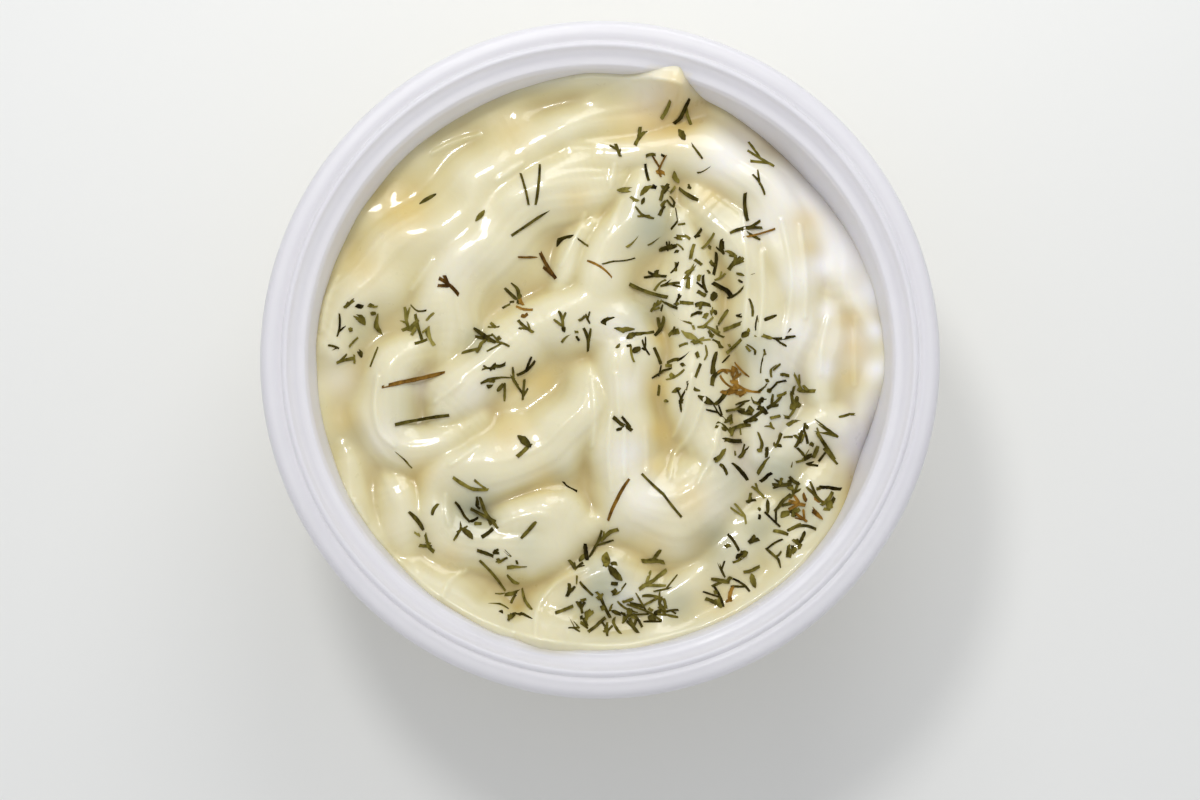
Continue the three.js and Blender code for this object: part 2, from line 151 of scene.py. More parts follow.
class Shader:
    """A material's nodes, with its Principled shader at hand."""

    def __init__(self, name: str) -> None:
        """Starts a material with one Principled shader.

        Args:
            name: The material's name.
        """
        self.material = bpy.data.materials.new(name)
        self.material.use_nodes = True
        self.tree = self.material.node_tree
        self.principled = self.tree.nodes["Principled BSDF"]
        self.coordinates = self.node("ShaderNodeTexCoord").outputs["Object"]

    def node(self, kind: str, **settings: object) -> bpy.types.Node:
        """Adds a node and sets its properties.

        Args:
            kind: The node's type.
            settings: Properties of the node.

        Returns:
            The new node.
        """
        made = self.tree.nodes.new(kind)
        for name, value in settings.items():
            setattr(made, name, value)
        return made

    def link(self, source: Socket, target: Socket) -> None:
        """Joins an output to an input."""
        self.tree.links.new(source, target)

    def feed(self, name: str, source: Socket) -> None:
        """Joins an output to one of the shader's own sockets."""
        self.link(source, self.principled.inputs[name])

    def set(self, **values: object) -> None:
        """Sets the shader's own sockets, named with underscores for spaces."""
        for name, value in values.items():
            self.principled.inputs[name.replace("_", " ")].default_value = value

    def scatter(self, scatter: Scatter) -> None:
        """Lets light into the body."""
        self.set(Subsurface_Weight=scatter.share, Subsurface_Scale=scatter.reach)
        self.set(Subsurface_Radius=scatter.colours)

    def attribute(self, name: str) -> Socket:
        """Gives a number that the mesh holds at each point."""
        return self.node("ShaderNodeAttribute", attribute_name=name).outputs["Fac"]

    def noise(self, pattern: Pattern) -> Socket:
        """Gives a cloudy pattern from 0 to 1.

        Args:
            pattern: Its size, layers and stretch.

        Returns:
            The pattern's socket.
        """
        mapping = self.node("ShaderNodeMapping")
        mapping.inputs["Scale"].default_value = pattern.stretch
        self.link(self.coordinates, mapping.inputs["Vector"])
        noise = self.node("ShaderNodeTexNoise")
        noise.inputs["Scale"].default_value = pattern.per_metre
        noise.inputs["Detail"].default_value = pattern.detail
        self.link(mapping.outputs["Vector"], noise.inputs["Vector"])
        return noise.outputs["Fac"]

    def rings(self, spacing: float) -> Socket:
        """Gives a pattern of even rings round the Z axis.

        Args:
            spacing: From one ring to the next, in metres.

        Returns:
            The pattern's socket, from 0 to 1.
        """
        wave = self.node("ShaderNodeTexWave", wave_type="RINGS", rings_direction="Z")
        wave.inputs["Scale"].default_value = math.tau / (WAVE_TURNING * spacing)
        self.link(self.coordinates, wave.inputs["Vector"])
        return wave.outputs["Fac"]

    def ramp(self, source: Socket, stops: list[tuple[float, Colour]]) -> Socket:
        """Turns a number into a colour.

        Args:
            source: The number.
            stops: Where each colour stands, and the colour.

        Returns:
            The colour's socket.
        """
        ramp = self.node("ShaderNodeValToRGB")
        elements = ramp.color_ramp.elements
        while len(elements) < len(stops):
            elements.new(0.5)
        for element, (position, colour) in zip(elements, stops):
            element.position = position
            element.color = linear(colour)
        self.link(source, ramp.inputs["Fac"])
        return ramp.outputs["Color"]

    def spread(self, source: Socket, to: Span, of: Span = (0.0, 1.0)) -> Socket:
        """Stretches a number from one range to another, and keeps it inside the second.

        Args:
            source: The number.
            to: The range that it is brought to.
            of: The range that it comes from.

        Returns:
            The new number's socket.
        """
        remap = self.node("ShaderNodeMapRange")
        for name, value in zip(("From Min", "From Max", "To Min", "To Max"), (*of, *to)):
            remap.inputs[name].default_value = value
        self.link(source, remap.inputs["Value"])
        return remap.outputs["Result"]

    def mix(self, share: Socket, first: Colour | Socket, second: Colour | Socket) -> Socket:
        """Mixes two colours.

        Args:
            share: How much of the second colour there is.
            first: A colour or its socket.
            second: A colour or its socket.

        Returns:
            The mixed colour's socket.
        """
        mix = self.node("ShaderNodeMix", data_type="RGBA")
        colours = [socket for socket in mix.inputs if socket.type == "RGBA"]
        self.link(share, mix.inputs["Factor"])
        for socket, value in zip(colours, (first, second)):
            if isinstance(value, Socket):
                self.link(value, socket)
            else:
                socket.default_value = linear(value)
        return next(socket for socket in mix.outputs if socket.type == "RGBA")

    def bump(self, height: Socket, relief: Relief) -> None:
        """Roughens the surface.

        Args:
            height: The relief from 0 to 1.
            relief: How deep it is and how much of it shows.
        """
        bump = self.node("ShaderNodeBump")
        bump.inputs["Distance"].default_value = relief.depth
        bump.inputs["Strength"].default_value = relief.share
        self.link(height, bump.inputs["Height"])
        self.feed("Normal", bump.outputs["Normal"])


@dataclass(frozen=True)
class MilkyPlastic:
    """Natural moulded plastic: pale, a little lilac, and cloudy enough to hide all but what touches it."""

    tint: Colour = (245, 242, 247)
    shade: Colour = (228, 225, 232)
    backed: Colour = (241, 229, 192)
    backed_share: float = 0.8
    clouds: Pattern = Pattern(90, 2)
    ring_spacing: float = 0.0011
    ring_share: float = 0.6
    ring_relief: Relief = Relief(0.00005, 0.7)
    skin: Pattern = Pattern(260, 3)
    roughness: Span = (0.19, 0.54)
    transmission: float = 0.12
    refraction: float = 1.49
    body: Scatter = Scatter(0.6, 0.006, (1.0, 0.97, 1.05))

    def material(self) -> bpy.types.Material:
        """Makes the plastic, with faint rings from its mould, a fine skin and the dip showing through.

        Returns:
            The material.
        """
        shader = Shader("milky_plastic")
        rings = shader.rings(self.ring_spacing)
        clouded = shader.mix(shader.noise(self.clouds), self.tint, self.shade)
        ringed = shader.mix(shader.spread(rings, (0.0, self.ring_share)), clouded, self.shade)
        through = shader.spread(shader.attribute("backed"), (0.0, self.backed_share))
        shader.feed("Base Color", shader.mix(through, ringed, self.backed))
        shader.feed("Roughness", shader.spread(shader.noise(self.skin), self.roughness))
        shader.set(Transmission_Weight=self.transmission, IOR=self.refraction)
        shader.scatter(self.body)
        shader.bump(rings, self.ring_relief)
        return shader.material


@dataclass(frozen=True)
class GarlicCream:
    """Glossy cream: pale on the crests, yellow where it is thin or lies in the creases. Its colour holds
    painted shade in the creases and hollows, painted light and reflection on pale patches, and painted shade
    in some grey-green and golden patches.
    """

    crest: Colour = (225, 218, 184)
    slope: Colour = (213, 201, 149)
    # Deepest tone of the ramp: partly the cream's own yellow, partly painted shade in the creases.
    crease_yellow_and_shade: Colour = (188, 165, 98)
    # Grey-green: dill showing under the cream, and painted shade in some hollows.
    herb: Colour = (164, 167, 142)
    # Golden: oily cream, and painted shade where hollows lie darker.
    oil_and_shade: Colour = (218, 188, 100)
    # Near-white: a thin milky film, and painted light and painted reflection where the cream lies in shade.
    milk_and_painted_light: Colour = (246, 244, 242)
    clouds: Pattern = Pattern(70, 3)
    cloud_range: Span = (0.35, 0.75)
    cloud_share: float = 0.25
    skin: Pattern = Pattern(500, 3)
    roughness: Span = (0.2, 0.44)
    grain: Pattern = Pattern(460, 4)
    grain_relief: Relief = Relief(0.0001, 0.6)
    coat: float = 0.6
    coat_roughness: float = 0.05
    refraction: float = 1.42
    body: Scatter = Scatter(0.45, 0.0018, (1.0, 0.85, 0.5))

    def material(self) -> bpy.types.Material:
        """Makes the cream from the values that its mesh holds: yellowing with painted shade in the creases, a
        milky film with painted light and reflection, herb tint with painted shade, and oily yellow with
        painted shade.

        Returns:
            The material.
        """
        shader = Shader("garlic_cream")
        # Painted shade: the ramp darkens and yellows the cream by how deep it lies in a hollow.
        depths = [(0.0, self.crest), (0.5, self.slope), (1.0, self.crease_yellow_and_shade)]
        colour = shader.ramp(shader.attribute("crease_yellow_and_shade"), depths)
        clouds = shader.spread(shader.noise(self.clouds), (0.0, self.cloud_share), self.cloud_range)
        colour = shader.mix(clouds, colour, self.crest)
        # Pale patches paint light and reflection; grey-green and golden patches paint shade as well as herb
        # and oily tint.
        for name, tone_patch in (("milk_and_painted_light", self.milk_and_painted_light), ("herb", self.herb), ("oil_and_shade", self.oil_and_shade)):
            colour = shader.mix(shader.attribute(name), colour, tone_patch)
        shader.feed("Base Color", colour)
        shader.feed("Roughness", shader.spread(shader.noise(self.skin), self.roughness))
        shader.set(Coat_Weight=self.coat, Coat_Roughness=self.coat_roughness, IOR=self.refraction)
        shader.scatter(self.body)
        shader.bump(shader.noise(self.grain), self.grain_relief)
        return shader.material


@dataclass(frozen=True)
class DriedLeaf:
    """Dried herb: dull and streaked along its length."""

    name: str
    dark: Colour
    middle: Colour
    light: Colour
    streaks: Pattern = Pattern(1500, 4, (1.0, 0.55, 1.0))
    dark_range: Span = (0.4, 0.76)
    light_range: Span = (0.3, 0.7)
    roughness: Span = (0.4, 0.8)
    shine: float = 0.04
    streak_relief: Relief = Relief(0.00005, 0.7)

    def material(self) -> bpy.types.Material:
        """Makes the leaf from a fine streaked pattern and the tone that each flake holds.

        Returns:
            The material.
        """
        shader = Shader(self.name)
        streaks = shader.noise(self.streaks)
        dark = shader.ramp(streaks, [*zip(self.dark_range, (self.dark, self.middle))])
        light = shader.ramp(streaks, [*zip(self.light_range, (self.middle, self.light))])
        shader.feed("Base Color", shader.mix(shader.attribute("tone"), dark, light))
        shader.feed("Roughness", shader.spread(streaks, self.roughness))
        shader.set(Specular_IOR_Level=self.shine)
        shader.bump(streaks, self.streak_relief)
        return shader.material


@dataclass(frozen=True)
class PaleFloor:
    """A plain pale tabletop."""

    tone: Colour = (233, 233, 228)
    light: Colour = (239, 239, 235)
    clouds: Pattern = Pattern(6, 2)
    roughness: float = 0.6

    def material(self) -> bpy.types.Material:
        """Makes the tabletop, a little uneven in tone.

        Returns:
            The material.
        """
        shader = Shader("pale_floor")
        shader.feed("Base Color", shader.mix(shader.noise(self.clouds), self.tone, self.light))
        shader.set(Roughness=self.roughness)
        return shader.material


class Corner(Enum):
    """How far a corner of the tub's section is rounded, in millimetres."""

    SHARP = 0.0
    FINEST = 0.1
    FINE = 0.12
    TIGHT = 0.15
    PLAIN = 0.2
    SOFT = 0.25
    WIDE = 0.4


@dataclass(frozen=True)
class Ring:
    """One ring of the tub's section."""

    radius: float
    height: float
    corner: Corner = Corner.SHARP


@dataclass
class Tub:
    """The moulded tub: foot ring, tapered wall, inner ledge, collar, bead and a flange with a skirt."""

    diameter: float = 75.0
    height: float = 38.0
    wall: float = 0.7
    floor: float = 1.2
    foot_rise: float = 0.4
    foot_width: float = 1.6
    foot_bevel: float = 0.8
    floor_corner: float = 0.9
    wall_top_radius: float = 32.25
    wall_top_depth: float = 2.0
    wall_draft: float = 0.1335
    ledge_edge_radius: float = 32.6
    ledge_edge_depth: float = 1.3
    ledge_radius: float = 33.5
    ledge_depth: float = 1.2
    collar_top_radius: float = 34.2
    collar_top_depth: float = 0.5
    bead_radius: float = 0.45
    bead_shoulder: float = 0.25
    bead_fall: float = 0.2
    bead_fall_depth: float = 0.05
    groove_depth: float = 0.45
    groove_width: float = 0.4
    groove_lip_depth: float = 0.15
    flange_depth: float = 0.12
    flange_edge_radius: float = 1.0
    flange_edge_cut: float = 0.3
    skirt_depth: float = 3.2
    skirt_thickness: float = 0.6
    flange_underside_depth: float = 1.25
    segments: int = 256
    corner_segments: int = 3
    wall_rings: int = 24
    backed_blur: float = 1.6
    finish: MilkyPlastic = field(default_factory=MilkyPlastic)

    def wall_radius(self, z: float | np.ndarray) -> float | np.ndarray:
        """Gives the tapered wall's inner radius at a height."""
        return self.wall_top_radius - (self.height - self.wall_top_depth - z) * self.wall_draft

    def along_wall(self, low: Ring, high: Ring) -> list[Ring]:
        """Gives rings on the straight wall from one ring to another, with both.

        Args:
            low: The ring that the wall starts from.
            high: The ring that it ends at.

        Returns:
            The rings in order.
        """
        shares = [i / self.wall_rings for i in range(1, self.wall_rings)]
        radii = [low.radius + share * (high.radius - low.radius) for share in shares]
        heights = [low.height + share * (high.height - low.height) for share in shares]
        return [low, *map(Ring, radii, heights), high]

    def outside(self) -> list[Ring]:
        """Gives the section's outer side, from the axis under the floor to the flange's edge.

        Returns:
            The rings in order.
        """
        rim = self.height
        edge = self.diameter / 2
        foot = self.wall_radius(self.floor)
        shoulder = rim - self.wall_top_depth - self.wall
        under = rim - self.flange_underside_depth
        flange = rim - self.flange_depth
        cut = self.flange_edge_cut * self.flange_edge_radius
        return [
            Ring(0.0, self.foot_rise),
            Ring(foot - self.foot_width - self.foot_bevel, self.foot_rise, Corner.PLAIN),
            Ring(foot - self.foot_width, 0.0, Corner.TIGHT),
            Ring(foot, 0.0, Corner.PLAIN),
            *self.along_wall(
                Ring(foot + self.wall, self.foot_bevel, Corner.WIDE),
                Ring(self.wall_radius(shoulder) + self.wall, shoulder, Corner.PLAIN),
            ),
            Ring(self.ledge_radius + self.wall, shoulder + self.wall, Corner.PLAIN),
            Ring(self.collar_top_radius + self.wall, under, Corner.SOFT),
            Ring(edge - self.skirt_thickness, under, Corner.PLAIN),
            Ring(edge - self.skirt_thickness, rim - self.skirt_depth, Corner.TIGHT),
            Ring(edge, rim - self.skirt_depth, Corner.PLAIN),
            Ring(edge, flange - self.flange_edge_radius, Corner.WIDE),
            Ring(edge - cut, flange - cut, Corner.SOFT),
            Ring(edge - self.flange_edge_radius, flange, Corner.WIDE),
        ]

    def inside(self) -> list[Ring]:
        """Gives the section's upper and inner side, from the flange's groove to the axis on the floor.

        Returns:
            The rings in order.
        """
        rim = self.height
        foot = self.wall_radius(self.floor)
        corner = self.floor + self.floor_corner
        groove = self.collar_top_radius + self.bead_radius + self.bead_radius
        lip = rim - self.flange_depth - self.groove_lip_depth
        return [
            Ring(groove + self.groove_width, lip, Corner.FINE),
            Ring(groove, rim - self.groove_depth, Corner.FINEST),
            Ring(groove - self.bead_fall, rim - self.bead_fall_depth, Corner.TIGHT),
            Ring(self.collar_top_radius + self.bead_shoulder, rim, Corner.PLAIN),
            Ring(self.collar_top_radius, rim - self.collar_top_depth, Corner.PLAIN),
            Ring(self.ledge_radius, rim - self.ledge_depth, Corner.PLAIN),
            Ring(self.ledge_edge_radius, rim - self.ledge_edge_depth, Corner.TIGHT),
            *self.along_wall(
                Ring(self.wall_top_radius, rim - self.wall_top_depth, Corner.FINE),
                Ring(self.wall_radius(corner), corner, Corner.WIDE),
            ),
            Ring(foot - self.floor_corner, self.floor, Corner.WIDE),
            Ring(0.0, self.floor),
        ]

    def ring_edges(self, bm: bmesh.types.BMesh, ring: Ring) -> list[bmesh.types.BMEdge]:
        """Finds the edges that run round one ring.

        Args:
            bm: The tub's mesh.
            ring: The ring to look for.

        Returns:
            Its edges.
        """
        near = 1e-6

        def on_ring(vert: bmesh.types.BMVert) -> bool:
            """Says whether a point is on the ring."""
            away = math.hypot(vert.co.x, vert.co.y) - ring.radius * MM
            return abs(away) < near and abs(vert.co.z - ring.height * MM) < near

        return [edge for edge in bm.edges if all(on_ring(vert) for vert in edge.verts)]

    def mark_backed(self, bm: bmesh.types.BMesh, surface: DipSurface) -> None:
        """Notes on the wall's points how far the dip lies behind them.

        Args:
            bm: The tub's mesh.
            surface: The dip's top.
        """
        places = np.array([vert.co[:] for vert in bm.verts]) / MM
        angle = np.arctan2(places[:, 1], places[:, 0])
        radius = self.wall_radius(surface.fill)
        level = surface.height(radius * np.cos(angle), radius * np.sin(angle))
        backed = np.clip((level - places[:, 2]) / self.backed_blur + 0.5, 0, 1)
        backed *= np.hypot(places[:, 0], places[:, 1]) < self.ledge_edge_radius + self.wall
        layer = bm.verts.layers.float.new("backed")
        for vert, share in zip(bm.verts, backed):
            vert[layer] = share

    def build(self, surface: DipSurface) -> bpy.types.Object:
        """Spins the section, rounds its corners and dresses the tub.

        Args:
            surface: The top of the dip that shows through the wall.

        Returns:
            The tub.
        """
        bm = bmesh.new()
        section = [*self.outside(), *self.inside()]
        chain = [bm.verts.new((ring.radius * MM, 0.0, ring.height * MM)) for ring in section]
        for first, second in zip(chain, chain[1:]):
            bm.edges.new((first, second))
        bmesh.ops.spin(
            bm,
            geom=bm.verts[:] + bm.edges[:],
            cent=(0.0, 0.0, 0.0),
            axis=(0.0, 0.0, 1.0),
            angle=math.tau,
            steps=self.segments,
            use_merge=True,
        )
        bmesh.ops.remove_doubles(bm, verts=bm.verts, dist=1e-7)
        bmesh.ops.recalc_face_normals(bm, faces=bm.faces)
        for ring in section:
            if ring.corner is not Corner.SHARP:
                bmesh.ops.bevel(
                    bm,
                    geom=self.ring_edges(bm, ring),
                    offset=ring.corner.value * MM,
                    affect="EDGES",
                    segments=self.corner_segments,
                    profile=0.5,
                    material=-1,
                )
        self.mark_backed(bm, surface)
        return finish_piece("tub_shell", bm, self.finish.material(), "tub")


def finish_piece(
    name: str, bm: bmesh.types.BMesh, material: bpy.types.Material, node: str, smooth: bool = True
) -> bpy.types.Object:
    """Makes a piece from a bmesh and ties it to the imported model.

    Args:
        name: The piece's name.
        bm: Its mesh, in metres. It is freed.
        material: Its finish.
        node: The solid that the piece stands for.
        smooth: Whether its faces are shaded as one.

    Returns:
        The new object.
    """
    for face in bm.faces:
        face.smooth = smooth
    mesh = bpy.data.meshes.new(name)
    bm.to_mesh(mesh)
    bm.free()
    mesh.materials.append(material)
    piece = bpy.data.objects.new(name, mesh)
    bpy.context.scene.collection.objects.link(piece)
    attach(piece, "root")
    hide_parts(node)
    LOG.info("%s: %d faces", name, len(mesh.polygons))
    return piece


@dataclass(frozen=True)
class Fold:
    """A spooned fold: the run of its crest, its half width and its crest's height above the fill."""

    path: tuple[Place, ...]
    half_width: float
    crest: float

    def samples(self, steps: int, taper: float) -> np.ndarray:
        """Follows the fold's crest on a smooth curve.

        Args:
            steps: Steps between two points of the path.
            taper: How much the fold shrinks at its ends.

        Returns:
            Rows of x, y, half width and crest height.
        """
        points = np.array(self.path)
        ends = [2 * points[0] - points[1], 2 * points[-1] - points[-2]]
        points = np.vstack([ends[0], points, ends[1]])
        rows = [
            centripetal(points[i : i + 4], step / steps)
            for i in range(len(points) - 3)
            for step in range(steps)
        ]
        rows.append(points[-2])
        count = len(rows) - 1
        shares = [1 - taper * abs(2 * i / count - 1) ** 4 for i in range(len(rows))]
        return np.array([[*row, self.half_width * s, self.crest * s] for row, s in zip(rows, shares)])


def centripetal(points: np.ndarray, share: float) -> np.ndarray:
    """Gives a point between the middle two of four points, on a curve that doesn't overshoot.

    Args:
        points: Four points in a row.
        share: How far along the middle stretch it lies.

    Returns:
        The point.
    """
    gaps = [math.sqrt(np.linalg.norm(points[i + 1] - points[i])) for i in range(3)]
    slopes = [(points[i + 1] - points[i]) / gaps[i] for i in range(3)]
    start = slopes[0] - (points[2] - points[0]) / (gaps[0] + gaps[1]) + slopes[1]
    end = slopes[1] - (points[3] - points[1]) / (gaps[1] + gaps[2]) + slopes[2]
    start, end = start * gaps[1], end * gaps[1]
    span = points[2] - points[1]
    square = 3 * span - 2 * start - end
    cube = -2 * span + start + end
    return points[1] + share * (start + share * (square + share * cube))


FOLDS = (
    Fold(((-30.7, 1.7), (-26.7, 7.5), (-21.6, 12.3), (-14.8, 17.5), (-11.2, 21.6), (-5.4, 25.2), (9.9, 30)),
         4.0, 2.5),
    Fold(((-17.1, 1.2), (-17.4, 6.5), (-15, 10.9), (-11.7, 15.1), (-7.4, 18.5), (-3, 20.1), (2, 21.1)),
         4.3, 3.0),
    Fold(((-2.5, 23), (8.5, 23.6), (14.4, 22.3), (18.8, 17.6), (21.4, 11.2), (22.1, 4.7), (20.8, -1.2)),
         3.3, 2.8),
    Fold(((5.9, 21.5), (4.8, 17.6), (2, 13.1), (0, 8.7), (-1, 5.7)), 3.3, 2.9),
    Fold(((-0.8, 16.1), (-3, 12.1), (-5.1, 7.7)), 2.1, 2.2),
    Fold(((-8.7, 3), (-4.5, 4.4), (0.5, 4.8), (3.2, 3.2)), 3.5, 3.0),
    Fold(((-6.7, 3.4), (-10.7, 1.1), (-14.4, -2.3), (-18, -5.9)), 3.6, 2.9),
    Fold(((2.2, 3.4), (3.2, 0.3), (2.4, -4.7), (2.2, -10.6), (4, -15.6)), 3.4, 3.2),
    Fold(((2.8, -13.1), (5, -16.6), (8.9, -17), (12.4, -14.4)), 4.7, 3.4),
    Fold(((12.9, -13.1), (11.6, -7.7), (10.7, -1.7), (10.3, 4.2), (9.4, 15.7)), 3.3, 2.8),
    Fold(((18.2, -9.9), (18.7, 0.3), (17.4, 9.2), (15.1, 14.1), (11.3, 18.4)), 3.3, 2.7),
    Fold(((-19.3, 1.1), (-22.8, -0.5), (-24.2, -4.7), (-22.3, -8.9), (-17.8, -9.5), (-13.5, -7.2)), 3.4, 2.6),
    Fold(((-0.8, -1.7), (-2, -5.7), (-5, -9.4), (-9.9, -11.2), (-15.3, -12.9), (-18.1, -15.1)), 3.8, 3.2),
    Fold(((-18.1, -15.1), (-18, -17.9), (-14.8, -20.3), (-10.4, -21.1), (-5.4, -20.4), (-1, -17.9)),
         3.4, 2.9),
    Fold(((-10.9, -18.5), (-6.9, -17.9), (-2.5, -18.2)), 3.3, 3.0),
    Fold(((-23.6, -12.8), (-22, -17.1), (-20.6, -21)), 2.9, 2.2),
    Fold(((-28.9, -10.1), (-27, -15.6), (-23.8, -20.8)), 2.3, 1.4),
    Fold(((-19.8, -23), (-15.8, -25.8), (-10.6, -29.7)), 3.5, 2.2),
    Fold(((-6.2, -30.9), (-4.2, -27.5), (0.2, -25.5), (5.4, -25.4)), 4.1, 2.9),
    Fold(((5.4, -28.9), (10.4, -25.3), (13.9, -22.5), (17.1, -20.3)), 3.8, 2.4),
    Fold(((14.5, -19), (19.1, -17.9)), 3.0, 1.9),
    Fold(((18.7, -21.4), (22.8, -17.7), (25.6, -12.9)), 3.3, 1.9),
    Fold(((19.6, -13.1), (22.5, -8.5), (27.2, -6.9)), 3.2, 2.2),
    Fold(((17.1, 23.5), (22.5, 19.5), (26.5, 12.9), (27.7, 6.9)), 3.0, 1.7),
    Fold(((28.5, 8), (31.5, 1.2), (29.5, -7.7)), 2.3, 1.5),
    Fold(((25.9, 6.9), (24.8, 0.6), (25, -6.2)), 2.5, 2.0),
)  # fmt: skip


@dataclass(frozen=True)
class SpoonLine:
    """A fine raised line that the spoon left on the dip."""

    path: tuple[Place, ...]
    height: float = 0.22
    half_width: float = 0.34


SPOON_LINES = (
    SpoonLine(((-0.9, -2.2), (-0.5, -6.2), (-0.9, -9.6))),
    SpoonLine(((1.2, -6.2), (0.9, -10.6), (1.2, -14.6))),
    SpoonLine(((1.7, -1.7), (2.1, -6.2))),
    SpoonLine(((2.7, -7.7), (2.7, -13.1))),
    SpoonLine(((5.1, -7.7), (5.3, -12.4)), 0.16),
    SpoonLine(((10.2, -2), (9.4, -5.7), (8.2, -8.5))),
    SpoonLine(((11.7, -4.2), (10.1, -8.2), (8.3, -10.6), (7.8, -13.1))),
    SpoonLine(((13.6, -6.7), (12.5, -10.6), (10.9, -13.8))),
    SpoonLine(((16.1, 16.1), (16.4, 9.2), (16, 3.2)), 0.18),
    SpoonLine(((18.2, 12.1), (18.1, 6.2), (17.7, 2.5))),
    SpoonLine(((20.3, 15.6), (21.3, 10.2), (21, 5.2), (20.4, 2.2))),
    SpoonLine(((22.4, 15.1), (23, 9.7), (22.9, 4.7))),
    SpoonLine(((-11.5, 20.1), (-8.7, 22)), 0.16),
    SpoonLine(((-18.8, 23.4), (-16.3, 24.7), (-13.7, 25.5)), 0.16),
    SpoonLine(((1.2, 19.4), (1.6, 21.8)), 0.16),
    SpoonLine(((0.8, 14.4), (2.4, 17.9)), 0.18),
    SpoonLine(((-1.7, 16.3), (-3, 13.4), (-4.4, 10.6))),
    SpoonLine(((-18.8, 11.2), (-21, 7.9)), 0.18),
    SpoonLine(((-24.8, -1.9), (-25.1, -5.2), (-24.4, -8.2), (-23, -9.7)), 0.26),
    SpoonLine(((-18.5, -4.7), (-15.4, -2.6)), 0.18),
    SpoonLine(((-17.2, -15.2), (-16.8, -18.3)), 0.2),
    SpoonLine(((-16.6, -11.8), (-13.7, -9.6)), 0.2),
    SpoonLine(((-31.1, 3.4), (-30.6, 6.7), (-29.5, 9.4)), 0.18),
    SpoonLine(((-27.3, -15.8), (-26, -18)), 0.18),
    SpoonLine(((-17.3, -26.3), (-16.6, -24.5), (-14.9, -23.5)), 0.2),
    SpoonLine(((-7.1, -30.4), (-6.9, -27.5), (-4.8, -24.8), (-1.6, -23.3)), 0.22),
    SpoonLine(((28.6, 4.7), (28.5, -2.7)), 0.16),
    SpoonLine(((25.5, 4.7), (24.7, 1.7), (24.6, -1.7)), 0.18),
)


@dataclass(frozen=True)
class Climb:
    """Where the dip stands higher or lower on the wall: the side and half width in degrees, and how much."""

    azimuth: float
    half_width: float
    rise: float


WALL_CLIMBS = (
    Climb(92, 14, 2.4), Climb(78.5, 4.5, 3.4), Climb(73.5, 3.2, 3.2), Climb(42, 17, -3.6),
    Climb(-19, 9, -4.6), Climb(-50, 12, 1.5), Climb(-98, 34, 4),
)  # fmt: skip


@dataclass(frozen=True)
class Wave:
    """A wave over the dip: how fast it turns along x and y, in radians per millimetre, and its start."""

    along_x: float
    along_y: float
    start: float

    def at(self, x: np.ndarray, y: np.ndarray) -> np.ndarray:
        """Gives the wave from -1 to 1 at each point."""
        return np.sin(self.along_x * x + self.along_y * y + self.start)


@dataclass(frozen=True)
class Swell:
    """A low unevenness over all the folds, made by two crossing waves."""

    height: float
    across: Wave
    along: Wave


@dataclass(frozen=True)
class Drag:
    """Faint lines along a fold: their share, how close they lie and their shift from fold to fold."""

    size: float
    turning: float
    shift: float


WANDER_X = Wave(0.31, 0.55, 1.3)
WANDER_Y = Wave(0.48, -0.36, 2.1)
SWELLS = (
    Swell(0.2, Wave(0.5, 0.22, 0.7), Wave(-0.27, 0.55, 2.2)),
    Swell(0.06, Wave(1.0, -0.42, 0.4), Wave(0.45, 0.95, 1.1)),
)
DRAGS = (Drag(1.0, 3.4, 1.9), Drag(0.6, 5.7, 4.1), Drag(0.25, 8.3, 2.7))
DRAG_FADE = Wave(0.33, -0.24, 0.8)


